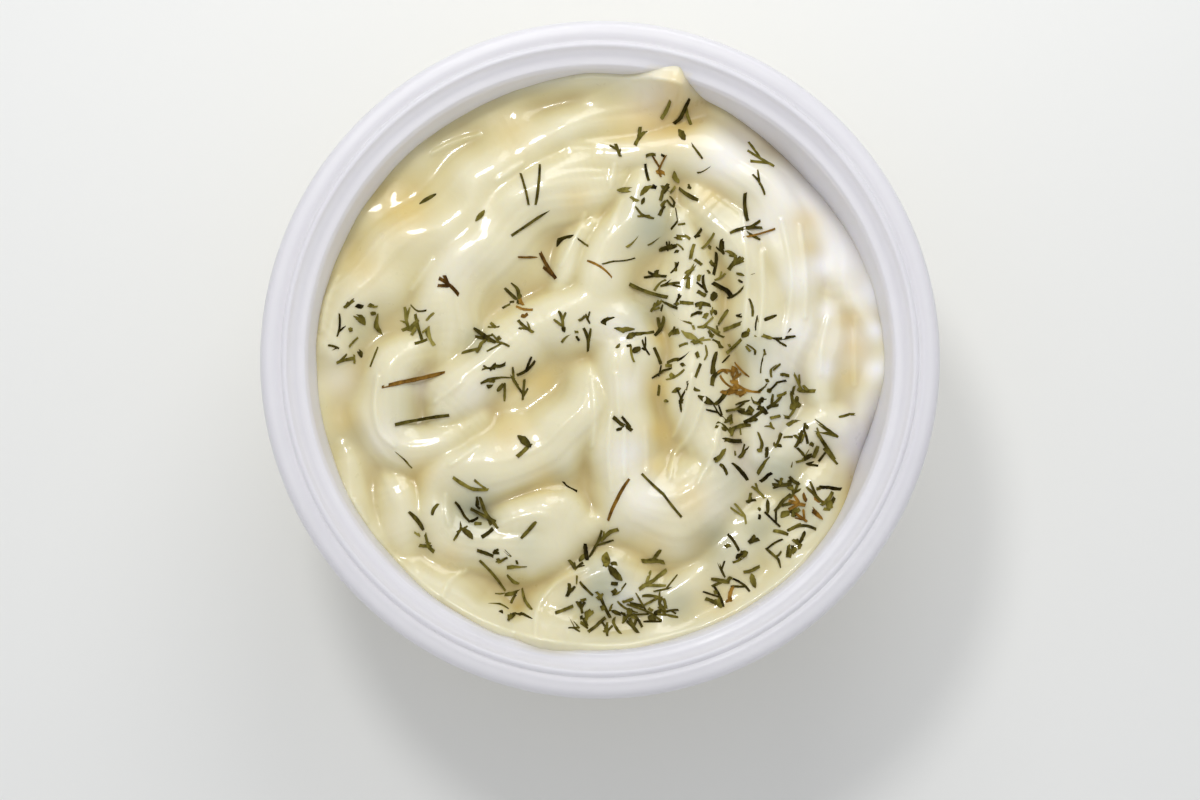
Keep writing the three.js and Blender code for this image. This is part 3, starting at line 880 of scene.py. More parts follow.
@dataclass
class DipSurface:
    """The dip's top: folds that meet in soft creases, and an edge that stands uneven on the wall."""

    fill: float = 31.0
    valley: float = 0.9
    drop: float = 1.5
    softness: float = 0.3
    end_taper: float = 0.3
    steps: int = 6
    fold_margin: float = 2.2
    mark_margin: float = 3.0
    wander: float = 0.45
    climb_start: float = 27.8
    climb_reach: float = 3.8
    drag_depth: float = 0.03
    drag_sharpness: float = 1.6

    def __post_init__(self) -> None:
        """Follows every crest and spoon line once."""
        self.crests = [fold.samples(self.steps, self.end_taper) for fold in FOLDS]
        lines = [Fold(line.path, line.half_width, line.height) for line in SPOON_LINES]
        self.marks = [line.samples(self.steps, self.end_taper) for line in lines]

    def wandered(self, x: np.ndarray, y: np.ndarray) -> tuple[np.ndarray, np.ndarray]:
        """Shifts points a little this way and that, so that the folds run unevenly."""
        return x + self.wander * WANDER_X.at(x, y), y + self.wander * WANDER_Y.at(x, y)

    def near(self, samples: np.ndarray, reach: float, x: np.ndarray, y: np.ndarray) -> np.ndarray:
        """Picks the points that lie near a crest's box.

        Args:
            samples: The crest's rows of x, y, half width and crest height.
            reach: How many half widths count as near.
            x: Where the points are.
            y: Where the points are.

        Returns:
            Whether each point is near.
        """
        margin = reach * samples[:, 2].max()
        low = samples[:, :2].min(axis=0) - margin
        high = samples[:, :2].max(axis=0) + margin
        return (x > low[0]) & (x < high[0]) & (y > low[1]) & (y < high[1])

    def ridge(self, samples: np.ndarray, x: np.ndarray, y: np.ndarray) -> tuple[np.ndarray, np.ndarray]:
        """Gives one fold's height over each point, and how far to the side of its crest the point is.

        Args:
            samples: The fold's rows of x, y, half width and crest.
            x: Where the points are.
            y: Where the points are.

        Returns:
            The heights, and the distances from the crest, below 0 on its right.
        """
        highest = np.full(x.shape, -np.inf)
        aside = np.zeros(x.shape)
        for a, b in zip(samples, samples[1:]):
            dx, dy = b[0] - a[0], b[1] - a[1]
            t = np.clip(((x - a[0]) * dx + (y - a[1]) * dy) / (dx * dx + dy * dy), 0, 1)
            away = np.hypot(x - a[0] - t * dx, y - a[1] - t * dy)
            half_width = a[2] + t * (b[2] - a[2])
            crest = a[3] + t * (b[3] - a[3])
            height = crest - self.drop * (away / half_width) ** 2
            left = (dx * (y - a[1]) - dy * (x - a[0])) / math.hypot(dx, dy)
            aside = np.where(height > highest, left, aside)
            highest = np.maximum(highest, height)
        return highest, aside

    def height(self, x: np.ndarray, y: np.ndarray) -> np.ndarray:
        """Gives the surface's height at each point.

        Args:
            x: Where the points are.
            y: Where the points are.

        Returns:
            The heights above the table.
        """
        wx, wy = self.wandered(x, y)
        total = np.full(x.shape, math.exp(self.valley / self.softness))
        for samples in self.crests:
            near = self.near(samples, self.fold_margin, wx, wy)
            total[near] += np.exp(self.ridge(samples, wx[near], wy[near])[0] / self.softness)
        azimuth = np.degrees(np.arctan2(y, x))
        near_wall = np.clip((np.hypot(x, y) - self.climb_start) / self.climb_reach, 0, 1) ** 2
        climb = sum(at.rise * np.exp(-(((azimuth - at.azimuth) / at.half_width) ** 2)) for at in WALL_CLIMBS)
        swell = sum(swell.height * swell.across.at(x, y) * swell.along.at(x, y) for swell in SWELLS)
        return self.fill + self.softness * np.log(total) + near_wall * climb + swell

    def drag_lines(self, x: np.ndarray, y: np.ndarray) -> np.ndarray:
        """Gives the height of the faint lines that run along the folds, as the spoon dragged them.

        Args:
            x: Where the points are.
            y: Where the points are.

        Returns:
            What they add to the surface's height.
        """
        wx, wy = self.wandered(x, y)
        sharpness = self.drag_sharpness / self.softness
        total = np.full(x.shape, math.exp(self.valley * sharpness))
        lines = np.zeros(x.shape)
        for number, samples in enumerate(self.crests):
            near = self.near(samples, self.fold_margin, wx, wy)
            height, aside = self.ridge(samples, wx[near], wy[near])
            share = np.exp(height * sharpness)
            line = sum(drag.size * np.sin(drag.turning * aside + drag.shift * number) for drag in DRAGS)
            total[near] += share
            lines[near] += share * line
        fading = 0.5 + 0.5 * DRAG_FADE.at(x, y)
        return self.drag_depth * fading * lines / total

    def spoon_marks(self, x: np.ndarray, y: np.ndarray) -> np.ndarray:
        """Gives the height of the fine lines at each point.

        Args:
            x: Where the points are.
            y: Where the points are.

        Returns:
            What they add to the surface's height.
        """
        total = np.zeros(x.shape)
        for line, samples in zip(SPOON_LINES, self.marks):
            near = self.near(samples, self.mark_margin, x, y)
            fall = (self.ridge(samples, x[near], y[near])[0] - line.height) / self.drop
            total[near] = np.maximum(total[near], line.height * np.exp(fall))
        return total


@dataclass(frozen=True)
class TonePatch:
    """A soft round patch of another tone, some of them painted light and some painted shade: its middle, its
    radius and how strong it is.
    """

    x: float
    y: float
    radius: float
    strength: float


# Grey-green patches: dill showing under the cream, and painted shade in the hollows between curls.
HERB_TINT_AND_SHADE_PATCHES = (
    TonePatch(-21.3, -5.4, 2.8, 0.25), TonePatch(-14.2, -16.9, 2.6, 0.8), TonePatch(0, -25.5, 3.2, 0.75),
    TonePatch(19.8, -3.7, 3, 0.5), TonePatch(5, 5.7, 2.6, 0.4), TonePatch(5.9, 15, 2.8, 0.7),
    TonePatch(-5.2, -2.9, 1.8, 0.5), TonePatch(17.3, 1.2, 2.2, 0.45), TonePatch(-13.9, 2.2, 1.8, 0.4),
    TonePatch(14.8, -13.6, 2.6, 0.35), TonePatch(23.3, -17.1, 2, 0.4), TonePatch(-26.7, 3.2, 1.8, 0.3),
    TonePatch(12.4, -20.2, 2.5, 0.9), TonePatch(20, -12.4, 2.4, 0.7), TonePatch(8.6, -27.2, 2, 0.5),
    TonePatch(17.8, -19, 2.2, 0.5), TonePatch(-8, -20.6, 2, 0.35), TonePatch(-28.2, -8, 1.8, 0.4),
    TonePatch(-5, -13, 1.8, 0.35), TonePatch(13.2, 16.4, 1.8, 0.35),
)  # fmt: skip

# Pale patches: partly a thin milky film, mostly painted light and painted reflection of the pale wall on
# cream that lies in shade.
MILK_FILM_AND_LIGHT_PATCHES = (
    TonePatch(24.5, 18.5, 4.5, 0.8), TonePatch(28.5, 11, 3.5, 0.8), TonePatch(30.5, 7.5, 2.5, 0.9),
    TonePatch(16, 24, 3.5, 0.5), TonePatch(14, 22.4, 2.6, 0.6), TonePatch(24.9, 10.6, 1.6, 0.8),
    TonePatch(30.8, 3.4, 1.2, 0.9), TonePatch(30.8, -1, 1.3, 0.8), TonePatch(22, 9, 2.2, 0.55),
    TonePatch(22.3, 3, 2.2, 0.6), TonePatch(20.5, -1, 3, 0.5), TonePatch(32, -5.5, 3, 0.9), TonePatch(25.4, 5.5, 1.2, 0.7),
    TonePatch(25.2, -1, 1.2, 0.7), TonePatch(21, 20, 3, 0.6), TonePatch(27.5, 15.5, 3, 0.7), TonePatch(29, -9, 3, 0.9),
    TonePatch(20, -7.5, 3, 0.3), TonePatch(16.5, -11.5, 2.6, 0.4), TonePatch(18.5, 15, 2.5, 0.5),
    TonePatch(3, -3, 1.6, 0.35), TonePatch(5, -15.6, 2.6, 0.45), TonePatch(2, 3.6, 2.2, 0.35),
    TonePatch(12.5, -16, 2.5, 0.3), TonePatch(-16, 10.5, 3, 0.2), TonePatch(-23.8, -8.5, 2.2, 0.3),
    TonePatch(3, -10.6, 2, 0.6), TonePatch(2.5, -26.5, 1.6, 0.5), TonePatch(6.6, 28.4, 3.2, 0.8),
    TonePatch(-29.5, -2, 2, 0.3), TonePatch(27, 13, 2, 0.8), TonePatch(28, 2, 3.2, 0.6), TonePatch(-14, -4, 2, 0.3),
    TonePatch(-20, -2.8, 1.6, 0.3),
)  # fmt: skip

# Golden patches: oily cream in places, and painted shade in hollows and darker places.
OIL_AND_SHADE_STAINS = (
    TonePatch(8.4, 27, 2.8, 0.75), TonePatch(5.4, 26.8, 2.8, 0.6), TonePatch(2.4, 26.2, 2.4, 0.25),
    TonePatch(23, 15.6, 1.7, 0.4), TonePatch(23.4, 12.6, 1.2, 0.35), TonePatch(8.6, 30.5, 2, 0.35),
    TonePatch(28, 4.6, 1.5, 0.5), TonePatch(28.2, 1.4, 1.7, 0.5), TonePatch(28, -1.8, 1.4, 0.4),
    TonePatch(-28.3, -7, 1.8, 0.4), TonePatch(12.2, 18.4, 1.8, 0.4), TonePatch(-2.5, 17.8, 1.8, 0.35),
    TonePatch(6.5, 2.7, 1.2, 0.4), TonePatch(13.4, -27, 2, 0.3), TonePatch(-16.6, -22, 1.6, 0.3),
    TonePatch(6.5, -3, 1.5, 0.5), TonePatch(6.6, -8, 1.5, 0.5), TonePatch(6.3, -12, 1.3, 0.4), TonePatch(-6, -2.5, 2, 0.6),
    TonePatch(-9, -2.5, 1.8, 0.35), TonePatch(-20, -12.5, 1.8, 0.35), TonePatch(-3, -24.5, 1.5, 0.35),
    TonePatch(-6, -13.5, 1.8, 0.45), TonePatch(5.5, -21.5, 2.4, 0.35), TonePatch(-22, 17, 3.2, 0.6),
    TonePatch(-26.5, 10.5, 2.4, 0.35), TonePatch(-10, -8, 2.4, 0.4), TonePatch(-10, 26, 2.4, 0.3),
    TonePatch(11.5, -20.6, 2, 0.35), TonePatch(10, -15.5, 2.2, 0.4),
)  # fmt: skip


@dataclass(frozen=True)
class CreaseTone:
    """How yellow the dip is painted, from how far it lies below its surroundings and below the crests'
    height: partly the cream's own yellow, partly painted shade in the hollows.
    """

    base: float = 0.35
    hollow: float = 0.9
    low: float = 0.45
    low_middle: float = 0.4
    top: float = 2.6
    depth: float = 2.4
    blur: float = 1.5

    def smoothed(self, height: np.ndarray, cell: float) -> np.ndarray:
        """Gives the mean height round each point of a grid.

        Args:
            height: The heights on the grid.
            cell: From one point to the next, in millimetres.

        Returns:
            The mean heights.
        """
        spread = self.blur / cell
        reach = int(3 * spread)
        kernel = np.exp(-0.5 * (np.arange(-reach, reach + 1) / spread) ** 2)
        kernel /= kernel.sum()
        mean = np.pad(height, reach, mode="edge")
        for axis in (0, 1):
            mean = np.apply_along_axis(lambda row: np.convolve(row, kernel, mode="same"), axis, mean)
        return mean[reach:-reach, reach:-reach]

    def over(self, height: np.ndarray, fill: float, cell: float) -> np.ndarray:
        """Says how deep each point of a grid lies in the creases, which sets their yellowing and painted
        shade.

        Args:
            height: The heights on the grid.
            fill: The height that the folds stand on.
            cell: From one point to the next, in millimetres.

        Returns:
            0 on a crest and 1 in the deepest hollow, the most yellow and most shaded.
        """
        # Painted shade: hollows below their surroundings and low places get the darker, yellower tone.
        low = (fill + self.top - height) / self.depth
        hollow = self.smoothed(height, cell) - height
        return np.clip(self.base + self.hollow * hollow + self.low * (low - self.low_middle), 0, 1)


@dataclass
class GarlicDip:
    """The dip: a folded top, drawn out just into the tub's wall, over a plain body down to the floor."""

    tub: Tub
    surface: DipSurface = field(default_factory=DipSurface)
    cells: int = 304
    reach: float = 0.2
    overlap: float = 0.1
    crease_tone: CreaseTone = field(default_factory=CreaseTone)
    finish: GarlicCream = field(default_factory=GarlicCream)

    def round_grid(self, flat: np.ndarray) -> np.ndarray:
        """Draws a square grid of half width 1 out to a disc of radius 1."""
        u, v = flat[:, 0], flat[:, 1]
        return np.column_stack([u * np.sqrt(1 - v * v / 2), v * np.sqrt(1 - u * u / 2)])

    def edge_radius(self, edge: np.ndarray) -> np.ndarray:
        """Says how far out the dip's edge lies, up the wall and out over the ledge.

        Args:
            edge: The edge's heights.

        Returns:
            Its radii.
        """
        tub = self.tub
        wall_top = tub.height - tub.wall_top_depth
        ledge = tub.height - tub.ledge_depth
        over_ledge = np.interp(edge, [wall_top, ledge], [0.0, tub.ledge_radius - tub.wall_top_radius])
        return np.minimum(tub.wall_radius(edge), tub.wall_top_radius) + over_ledge

    def top_places(self, flat: np.ndarray) -> np.ndarray:
        """Places the grid's points on the dip's top.

        Args:
            flat: The points of a square grid of half width 1.

        Returns:
            Their x, y and z in millimetres.
        """
        disc = self.round_grid(flat)
        share = np.hypot(disc[:, 0], disc[:, 1])
        angle = np.arctan2(disc[:, 1], disc[:, 0])
        radius = self.tub.wall_radius(self.surface.fill)
        edge = self.surface.height(radius * np.cos(angle), radius * np.sin(angle))
        spread = share * (self.edge_radius(edge) + self.reach)
        x, y = spread * np.cos(angle), spread * np.sin(angle)
        marks = self.surface.spoon_marks(x, y) + self.surface.drag_lines(x, y)
        return np.column_stack([x, y, self.surface.height(x, y) + marks])

    def creases(self, flat: np.ndarray, places: np.ndarray) -> np.ndarray:
        """Says how deep each point of the dip's top lies in the creases, which sets their yellowing and
        painted shade.

        Args:
            flat: The points of the square grid.
            places: Where they lie on the dip.

        Returns:
            0 on a crest and 1 in the deepest hollow, the most yellow and most shaded.
        """
        side = self.cells + 1
        order = np.lexsort((flat[:, 0].round(6), flat[:, 1].round(6)))
        height = places[order, 2].reshape(side, side)
        cell = 2 * self.tub.wall_radius(self.surface.fill) / self.cells
        crease_yellow_and_shade = np.empty(len(flat))
        crease_yellow_and_shade[order] = self.crease_tone.over(height, self.surface.fill, cell).ravel()
        return crease_yellow_and_shade

    def tone_share(self, places: np.ndarray, tone_patches: tuple[TonePatch, ...]) -> np.ndarray:
        """Says how strongly each point takes a patch's tone, painted light and shade included.

        Args:
            places: The points' x and y.
            tone_patches: The patches of one kind, painted light and shade among them.

        Returns:
            A share from 0 to 1 at each point.
        """
        clean = np.ones(len(places))
        for tone_patch in tone_patches:
            away = np.hypot(places[:, 0] - tone_patch.x, places[:, 1] - tone_patch.y)
            clean *= 1 - tone_patch.strength * np.exp(-((away / tone_patch.radius) ** 2))
        return 1 - clean

    def draw_down(self, bm: bmesh.types.BMesh) -> None:
        """Draws the top's edge down the wall and closes the floor.

        Args:
            bm: The dip's mesh, with its top.
        """
        rim = [edge for edge in bm.edges if edge.is_boundary]
        floor = self.tub.floor
        corner = self.tub.floor_corner
        wall_top = self.tub.height - self.tub.wall_top_depth
        for level, inset in ((wall_top, 0.0), (floor + corner, 0.0), (floor - self.overlap, corner)):
            drawn = bmesh.ops.extrude_edge_only(bm, edges=rim)["geom"]
            rim = [part for part in drawn if isinstance(part, bmesh.types.BMEdge)]
            for vert in (part for part in drawn if isinstance(part, bmesh.types.BMVert)):
                angle = math.atan2(vert.co.y, vert.co.x)
                z = min(level, vert.co.z / MM - self.overlap)
                radius = self.tub.wall_radius(z) + self.reach - inset
                vert.co = Vector((radius * math.cos(angle), radius * math.sin(angle), z)) * MM
        bmesh.ops.holes_fill(bm, edges=rim, sides=0)

    def build(self) -> bpy.types.Object:
        """Lays a grid on the folds, notes its tones, draws it down to the floor and dresses the dip.

        Returns:
            The dip.
        """
        bm = bmesh.new()
        bmesh.ops.create_grid(bm, x_segments=self.cells, y_segments=self.cells, size=1.0)
        flat = np.array([vert.co[:2] for vert in bm.verts])
        places = self.top_places(flat)
        # Painted shade: the first tone darkens the hollows; the patches paint light, shade and tint.
        tones = {"crease_yellow_and_shade": self.creases(flat, places)}
        for name, tone_patches in (("milk_and_painted_light", MILK_FILM_AND_LIGHT_PATCHES), ("herb", HERB_TINT_AND_SHADE_PATCHES), ("oil_and_shade", OIL_AND_SHADE_STAINS)):
            tones[name] = self.tone_share(places, tone_patches)
        layers = {name: bm.verts.layers.float.new(name) for name in tones}
        for i, vert in enumerate(bm.verts):
            vert.co = places[i] * MM
            for name, tone in tones.items():
                vert[layers[name]] = tone[i]
        self.draw_down(bm)
        bmesh.ops.recalc_face_normals(bm, faces=bm.faces)
        return finish_piece("dip_cream", bm, self.finish.material(), "garlic_dip")


class Herb(Enum):
    """The kinds of dried herb in the sprinkle."""

    GREEN = DriedLeaf("dill_green", (22, 15, 1), (66, 57, 10), (138, 127, 56))
    OLIVE = DriedLeaf("dill_olive", (62, 56, 12), (112, 103, 34), (168, 156, 84))
    BROWN = DriedLeaf("dill_brown", (48, 28, 6), (112, 78, 22), (172, 130, 54))


@dataclass(frozen=True)
class Patch:
    """A patch of dill: its middle, how far it reaches each way and how many flakes lie in it."""

    x: float
    y: float
    reach_x: float
    reach_y: float
    count: int


@dataclass(frozen=True)
class Flake:
    """One flake of dill as it lies."""

    x: float
    y: float
    heading: float
    length: float
    curl: float
    herb: Herb


# Sprigs that lie apart: x, y, heading in degrees and length.
LONE_SPRIGS = (
    (-19.3, 18.1, 30, 2.2), (-13.4, 16.1, 55, 1.6), (-8.4, 19.1, 105, 3.8), (-6.9, 19.6, 85, 4.7),
    (-7.4, 15.6, 35, 6.1), (-7.9, 11.6, 5, 2.5), (-5.9, 10.7, 120, 3.6), (-4, 13.6, 55, 2.3),
    (-2.5, 13.6, 5, 2.2), (3, 19.1, 5, 2.2), (9.9, 29.5, 40, 2.9), (7.4, 28, 60, 2), (9.9, 27.5, 110, 2),
    (4.5, 25, 55, 2.2), (2, 23.5, 110, 1.6), (18.3, 23, 150, 3.5), (17.8, 19.6, 120, 2.7),
    (16.3, 17.1, 95, 3.1), (16.3, 14.6, 10, 3.7), (17.8, 14.1, 15, 3.7), (2, 11.2, 30, 3.6),
    (0, 10.2, 145, 3.4), (5.4, 7.7, 160, 4.5), (-16.8, 8.2, 140, 2.9), (-20.3, 5.7, 175, 1.9),
    (-20.3, 3.7, 105, 3), (-12.9, 2.7, 145, 3), (-20.8, -2.2, 15, 7.2), (-19.8, -6.7, 10, 6.1),
    (-21.8, -11.1, 135, 2.7), (-14.4, -14.1, 170, 4.1), (-8.4, -9.1, 140, 2), (-8.4, -10.1, 45, 2.2),
    (-3.5, -14.1, 160, 2.2), (6.9, -15.1, 125, 6.5), (2, -15.6, 60, 5.2), (1, -19.5, 40, 2.3),
    (-0.5, -20.5, 60, 3.3), (-11.9, -24, 130, 4.4), (-12.4, -17.1, 130, 4), (-7.9, -19, 45, 2.5),
    (5.9, -22.5, 5, 2.5), (5.9, -24.5, 25, 3.7), (7.4, -25.5, 10, 3), (5, -28, 145, 4.2),
    (27.7, -6.2, 20, 2.1), (25.2, -7.7, 145, 3.3), (25.2, -9.6, 125, 3.6), (15.8, -17.1, 110, 2.6),
    (14.4, -9.1, 170, 2.8), (2.5, -7.2, 155, 2.6), (-11.4, -2.2, 15, 3.9),
)  # fmt: skip

PATCHES = (
    Patch(8.9, 22, 2.9, 2.6, 8), Patch(6.4, 16.1, 2.8, 3.2, 10), Patch(10.4, 12.6, 2.4, 2.2, 8),
    Patch(13.9, 9.7, 2.4, 2.2, 9), Patch(7.9, 9.5, 1.8, 1.1, 4), Patch(9.4, 5.7, 2.6, 2.2, 10),
    Patch(11.9, 2.7, 2.8, 2.4, 12), Patch(9.4, -1.7, 2.8, 2.8, 11), Patch(17.3, 2.7, 2.4, 2.6, 8),
    Patch(15.3, -2, 1.4, 1.4, 7), Patch(15.3, -5.7, 1.7, 2.2, 12), Patch(20.3, -3.7, 2.2, 2.1, 12),
    Patch(20.3, -8.2, 2.3, 2, 6), Patch(23.8, -9.6, 1.8, 1.5, 7), Patch(15.8, -11.1, 2.4, 1.2, 6),
    Patch(18.8, -15.6, 1.9, 2.3, 8), Patch(22.8, -16.1, 1.8, 2.2, 10), Patch(21.8, -20.5, 2.3, 1.8, 6),
    Patch(15.6, -22, 2, 1.7, 5), Patch(15.1, -26.5, 2.1, 2, 7), Patch(-0.5, -24.6, 2.4, 2.6, 11),
    Patch(0.5, -28.6, 3.6, 1.6, 11), Patch(5.4, -28.4, 2.4, 1.8, 9), Patch(-9.7, -27.8, 1.6, 1.6, 6),
    Patch(-10.9, -22.8, 1.9, 1.5, 5), Patch(-13.9, -17.6, 2, 1.6, 5), Patch(-19.1, -18.5, 1.2, 1.6, 3),
    Patch(-27, 3.2, 2.3, 2.7, 9), Patch(-20.1, 4.2, 1.3, 1.6, 5), Patch(-12.9, 2.2, 1.5, 1.3, 4),
    Patch(-10.2, -2, 1.9, 1.3, 6), Patch(-9.2, 5.7, 1, 2.1, 5), Patch(-1.5, 3.4, 3.6, 1, 6),
    Patch(3.5, 2.5, 1.6, 1.3, 5), Patch(26, -16.1, 1, 1.4, 3),
)  # fmt: skip

# Where the dill is brown, and where it is olive: x, y and radius.
BROWN_SPOTS = (
    (-7.9, 11.6, 1.5), (-5.9, 10.7, 1.5), (-16.8, 8.2, 1.5), (0, 10.2, 1.5), (-20.8, -2.2, 1.5),
    (2, -15.6, 1.5), (17.8, 14.1, 1), (15.3, -2.2, 2.4), (-8.9, 5.7, 1.2), (23.3, -16.6, 1.6),
    (6.4, 20.6, 1.2), (15.6, -26.5, 1.5),
)  # fmt: skip

OLIVE_SPOTS = (
    (3, 19.1, 1.5), (-20.3, 3.7, 1.8), (25.2, -7.7, 1), (15.8, -17.1, 1.5), (5.9, -24.5, 1), (7.4, 28, 1.5),
    (4.5, 25, 1.5), (18.3, 23, 1), (10.9, 3.2, 1.6), (-19.8, -19.5, 1.5),
)  # fmt: skip


@dataclass(frozen=True)
class Needle:
    """One needle or leaf to lay: its flake, its width, its kink as a slope and its tone from 0 to 1."""

    flake: Flake
    width: float
    kink: float
    tone: float
    leaf: bool


@dataclass(frozen=True)
class NeedleForm:
    """How unevenly needles dry. A span holds the ends of an even random draw."""

    cells_along: int = 8
    keel: Span = (-0.15, 0.35)
    narrowing: float = 0.5
    leaf_narrowing: float = 0.85
    raggedness: float = 0.25
    cut: Span = (-0.4, 0.4)
    lean: Span = (-0.25, 0.25)
    lift: Span = (0.02, 0.14)
    sinking: float = 0.35
    sinking_from: float = 0.7
    kinked_at: Span = (-0.2, 0.2)
    kink_middle: float = 0.15
    following: float = 0.5

    def lay(self, bm: bmesh.types.BMesh, needle: Needle, surface: DipSurface, draw: Draw) -> None:
        """Adds one needle: a keeled, bent strip on the dip, cut off at its ends.

        Args:
            bm: The mesh that it goes to.
            needle: What is laid.
            surface: The dip that it lies on.
            draw: Random draws for its shape.
        """
        flake = needle.flake
        strip = bmesh.ops.create_grid(bm, x_segments=self.cells_along, y_segments=2, size=0.5)["verts"]
        keel = between(self.keel, draw)
        narrowing = self.narrowing * draw() ** 2
        cut = between(self.cut, draw)
        lean = between(self.lean, draw)
        lift = between(self.lift, draw)
        sinking = self.sinking * max(0.0, draw() - self.sinking_from)
        kinked_at = between(self.kinked_at, draw)
        ragged = np.array([draw() - 0.5 for _ in range(self.cells_along + 1)])
        along = np.array([vert.co.x for vert in strip])
        across = np.array([vert.co.y for vert in strip])
        share = along + 0.5
        end = 2 * np.abs(along)
        taper = 1 - self.leaf_narrowing * end**2 if needle.leaf else 1 - narrowing * end**4
        step = np.rint(share * self.cells_along).astype(int)
        wide = needle.width * taper * (1 + self.raggedness * ragged[step])
        bend = flake.curl * flake.length * (end**2 - 0.5)
        bend += needle.kink * flake.length * (np.maximum(0, along - kinked_at) - self.kink_middle)
        far = flake.length * along + cut * across * wide
        heading = math.radians(flake.heading)
        mid_x = flake.x + far * math.cos(heading) - bend * math.sin(heading)
        mid_y = flake.y + far * math.sin(heading) + bend * math.cos(heading)
        x = mid_x - across * wide * math.sin(heading)
        y = mid_y + across * wide * math.cos(heading)
        ground = surface.height(mid_x, mid_y)
        first, last = ground[along.argmin()], ground[along.argmax()]
        stiff = (1 - self.following) * (first + (last - first) * share)
        z = np.maximum(self.following * ground + stiff, ground) + lift - sinking * share * flake.length
        z += lean * across * wide + keel * np.abs(across) * wide
        layer = bm.verts.layers.float["tone"]
        for vert, place in zip(strip, zip(x, y, z)):
            vert.co = Vector(place) * MM
            vert[layer] = needle.tone


@dataclass
class DillSprinkle:
    """Dried dill on the dip: sprigs that lie apart, patches with their longest flakes first, and crumbs."""

    surface: DipSurface
    seed: int = 2024
    shape_seed: int = 77
    crumb_seed: int = 31
    limit_radius: float = 30.7
    longest: float = 2.6
    shortest: float = 0.9
    lone_curl: float = 0.16
    patch_curl: float = 0.2
    patch_spread: float = 1.35
    tries: int = 9
    width: float = 0.4
    width_shares: Span = (0.55, 1.15)
    thickness: float = 0.08
    kink: float = 0.9
    broad_share: float = 0.13
    broadening: float = 2.0
    forked_share: float = 0.4
    longest_forked: float = 4.6
    both_sides_share: float = 0.4
    side_turn: Span = (18.0, 48.0)
    side_length: Span = (0.4, 0.8)
    side_start: Span = (-0.45, 0.05)
    side_width: float = 0.85
    crumb_share: float = 0.6
    crumb_length: float = 0.75
    crumb_lengths: Span = (0.5, 1.5)
    crumb_spread: float = 1.25
    form: NeedleForm = field(default_factory=NeedleForm)

    def kept_inside(self, x: float, y: float, length: float) -> Place:
        """Keeps a flake's middle far enough from the wall for its length."""
        scale = min(1.0, (self.limit_radius - length / 2) / math.hypot(x, y))
        return x * scale, y * scale

    def herb_at(self, x: float, y: float) -> Herb:
        """Says which kind of herb lies at a place.

        Args:
            x: The place.
            y: The place.

        Returns:
            The kind.
        """
        for herb, spots in ((Herb.BROWN, BROWN_SPOTS), (Herb.OLIVE, OLIVE_SPOTS)):
            if any(math.hypot(x - spot[0], y - spot[1]) < spot[2] for spot in spots):
                return herb
        return Herb.GREEN

    def patch_place(self, patch: Patch, length: float, laid: list[Place], draw: Draw) -> Place:
        """Picks the place in a patch that lies farthest from the flakes there are.

        Args:
            patch: Where the flake goes.
            length: Its length.
            laid: The places of the flakes there are.
            draw: Random draws.

        Returns:
            The flake's middle.
        """
        places = []
        for _ in range(self.tries):
            across, along = 2 * draw() - 1, 2 * draw() - 1
            offset_x = patch.reach_x * across * math.sqrt(1 - along * along / 2)
            offset_y = patch.reach_y * along * math.sqrt(1 - across * across / 2)
            place = (patch.x + self.patch_spread * offset_x, patch.y + self.patch_spread * offset_y)
            places.append(self.kept_inside(*place, length))
        return max(places, key=lambda place: min(math.dist(place, other) for other in laid))

    def flakes(self) -> Iterator[Flake]:
        """Lays out the flakes, with the same draws as the solids' dill.

        Yields:
            Each flake in turn.
        """
        draw = seeded_random(self.seed)
        laid = [self.kept_inside(x, y, length) for x, y, _, length in LONE_SPRIGS]
        for kept, (x, y, heading, length) in zip(laid[:], LONE_SPRIGS):
            yield Flake(*kept, heading, length, self.lone_curl * (draw() - 0.5), self.herb_at(x, y))
        for patch in PATCHES:
            for i in range(patch.count):
                length = self.longest + (self.shortest - self.longest) * i / patch.count
                kept = self.patch_place(patch, length, laid, draw)
                laid.append(kept)
                heading = HALF_TURN * draw()
                yield Flake(*kept, heading, length, self.patch_curl * (draw() - 0.5), self.herb_at(*kept))

    def crumbs(self) -> Iterator[Flake]:
        """Lays out the crumbs, too small for the solids, in and round the patches.

        Yields:
            Each crumb in turn.
        """
        draw = seeded_random(self.crumb_seed)
        for patch in PATCHES:
            for _ in range(round(self.crumb_share * patch.count)):
                turn, out = math.tau * draw(), self.crumb_spread * math.sqrt(draw())
                length = self.crumb_length * between(self.crumb_lengths, draw)
                x = patch.x + patch.reach_x * out * math.cos(turn)
                y = patch.y + patch.reach_y * out * math.sin(turn)
                kept = self.kept_inside(x, y, length)
                yield Flake(*kept, HALF_TURN * draw(), length, 0.0, self.herb_at(*kept))

    def lay(self, bm: bmesh.types.BMesh, flake: Flake, draw: Draw) -> None:
        """Adds one flake: a needle, at times with side needles, or a broad scrap of leaf.

        Args:
            bm: The mesh that it goes to.
            flake: Where and how it lies.
            draw: Random draws for its shape.
        """
        tone = draw()
        leaf = flake.length < self.longest and draw() < self.broad_share
        width = self.width * between(self.width_shares, draw) * (self.broadening if leaf else 1.0)
        kink = self.kink * (2 * draw() - 1) ** 3 * min(1.0, self.longest / flake.length)
        self.form.lay(bm, Needle(flake, width, kink, tone, leaf), self.surface, draw)
        if leaf or flake.length > self.longest_forked or draw() > self.forked_share:
            return
        for side in (-1, 1) if draw() < self.both_sides_share else (1 if draw() < 0.5 else -1,):
            branch = self.branch(flake, side, draw)
            self.form.lay(bm, Needle(branch, self.side_width * width, 0.0, tone, False), self.surface, draw)

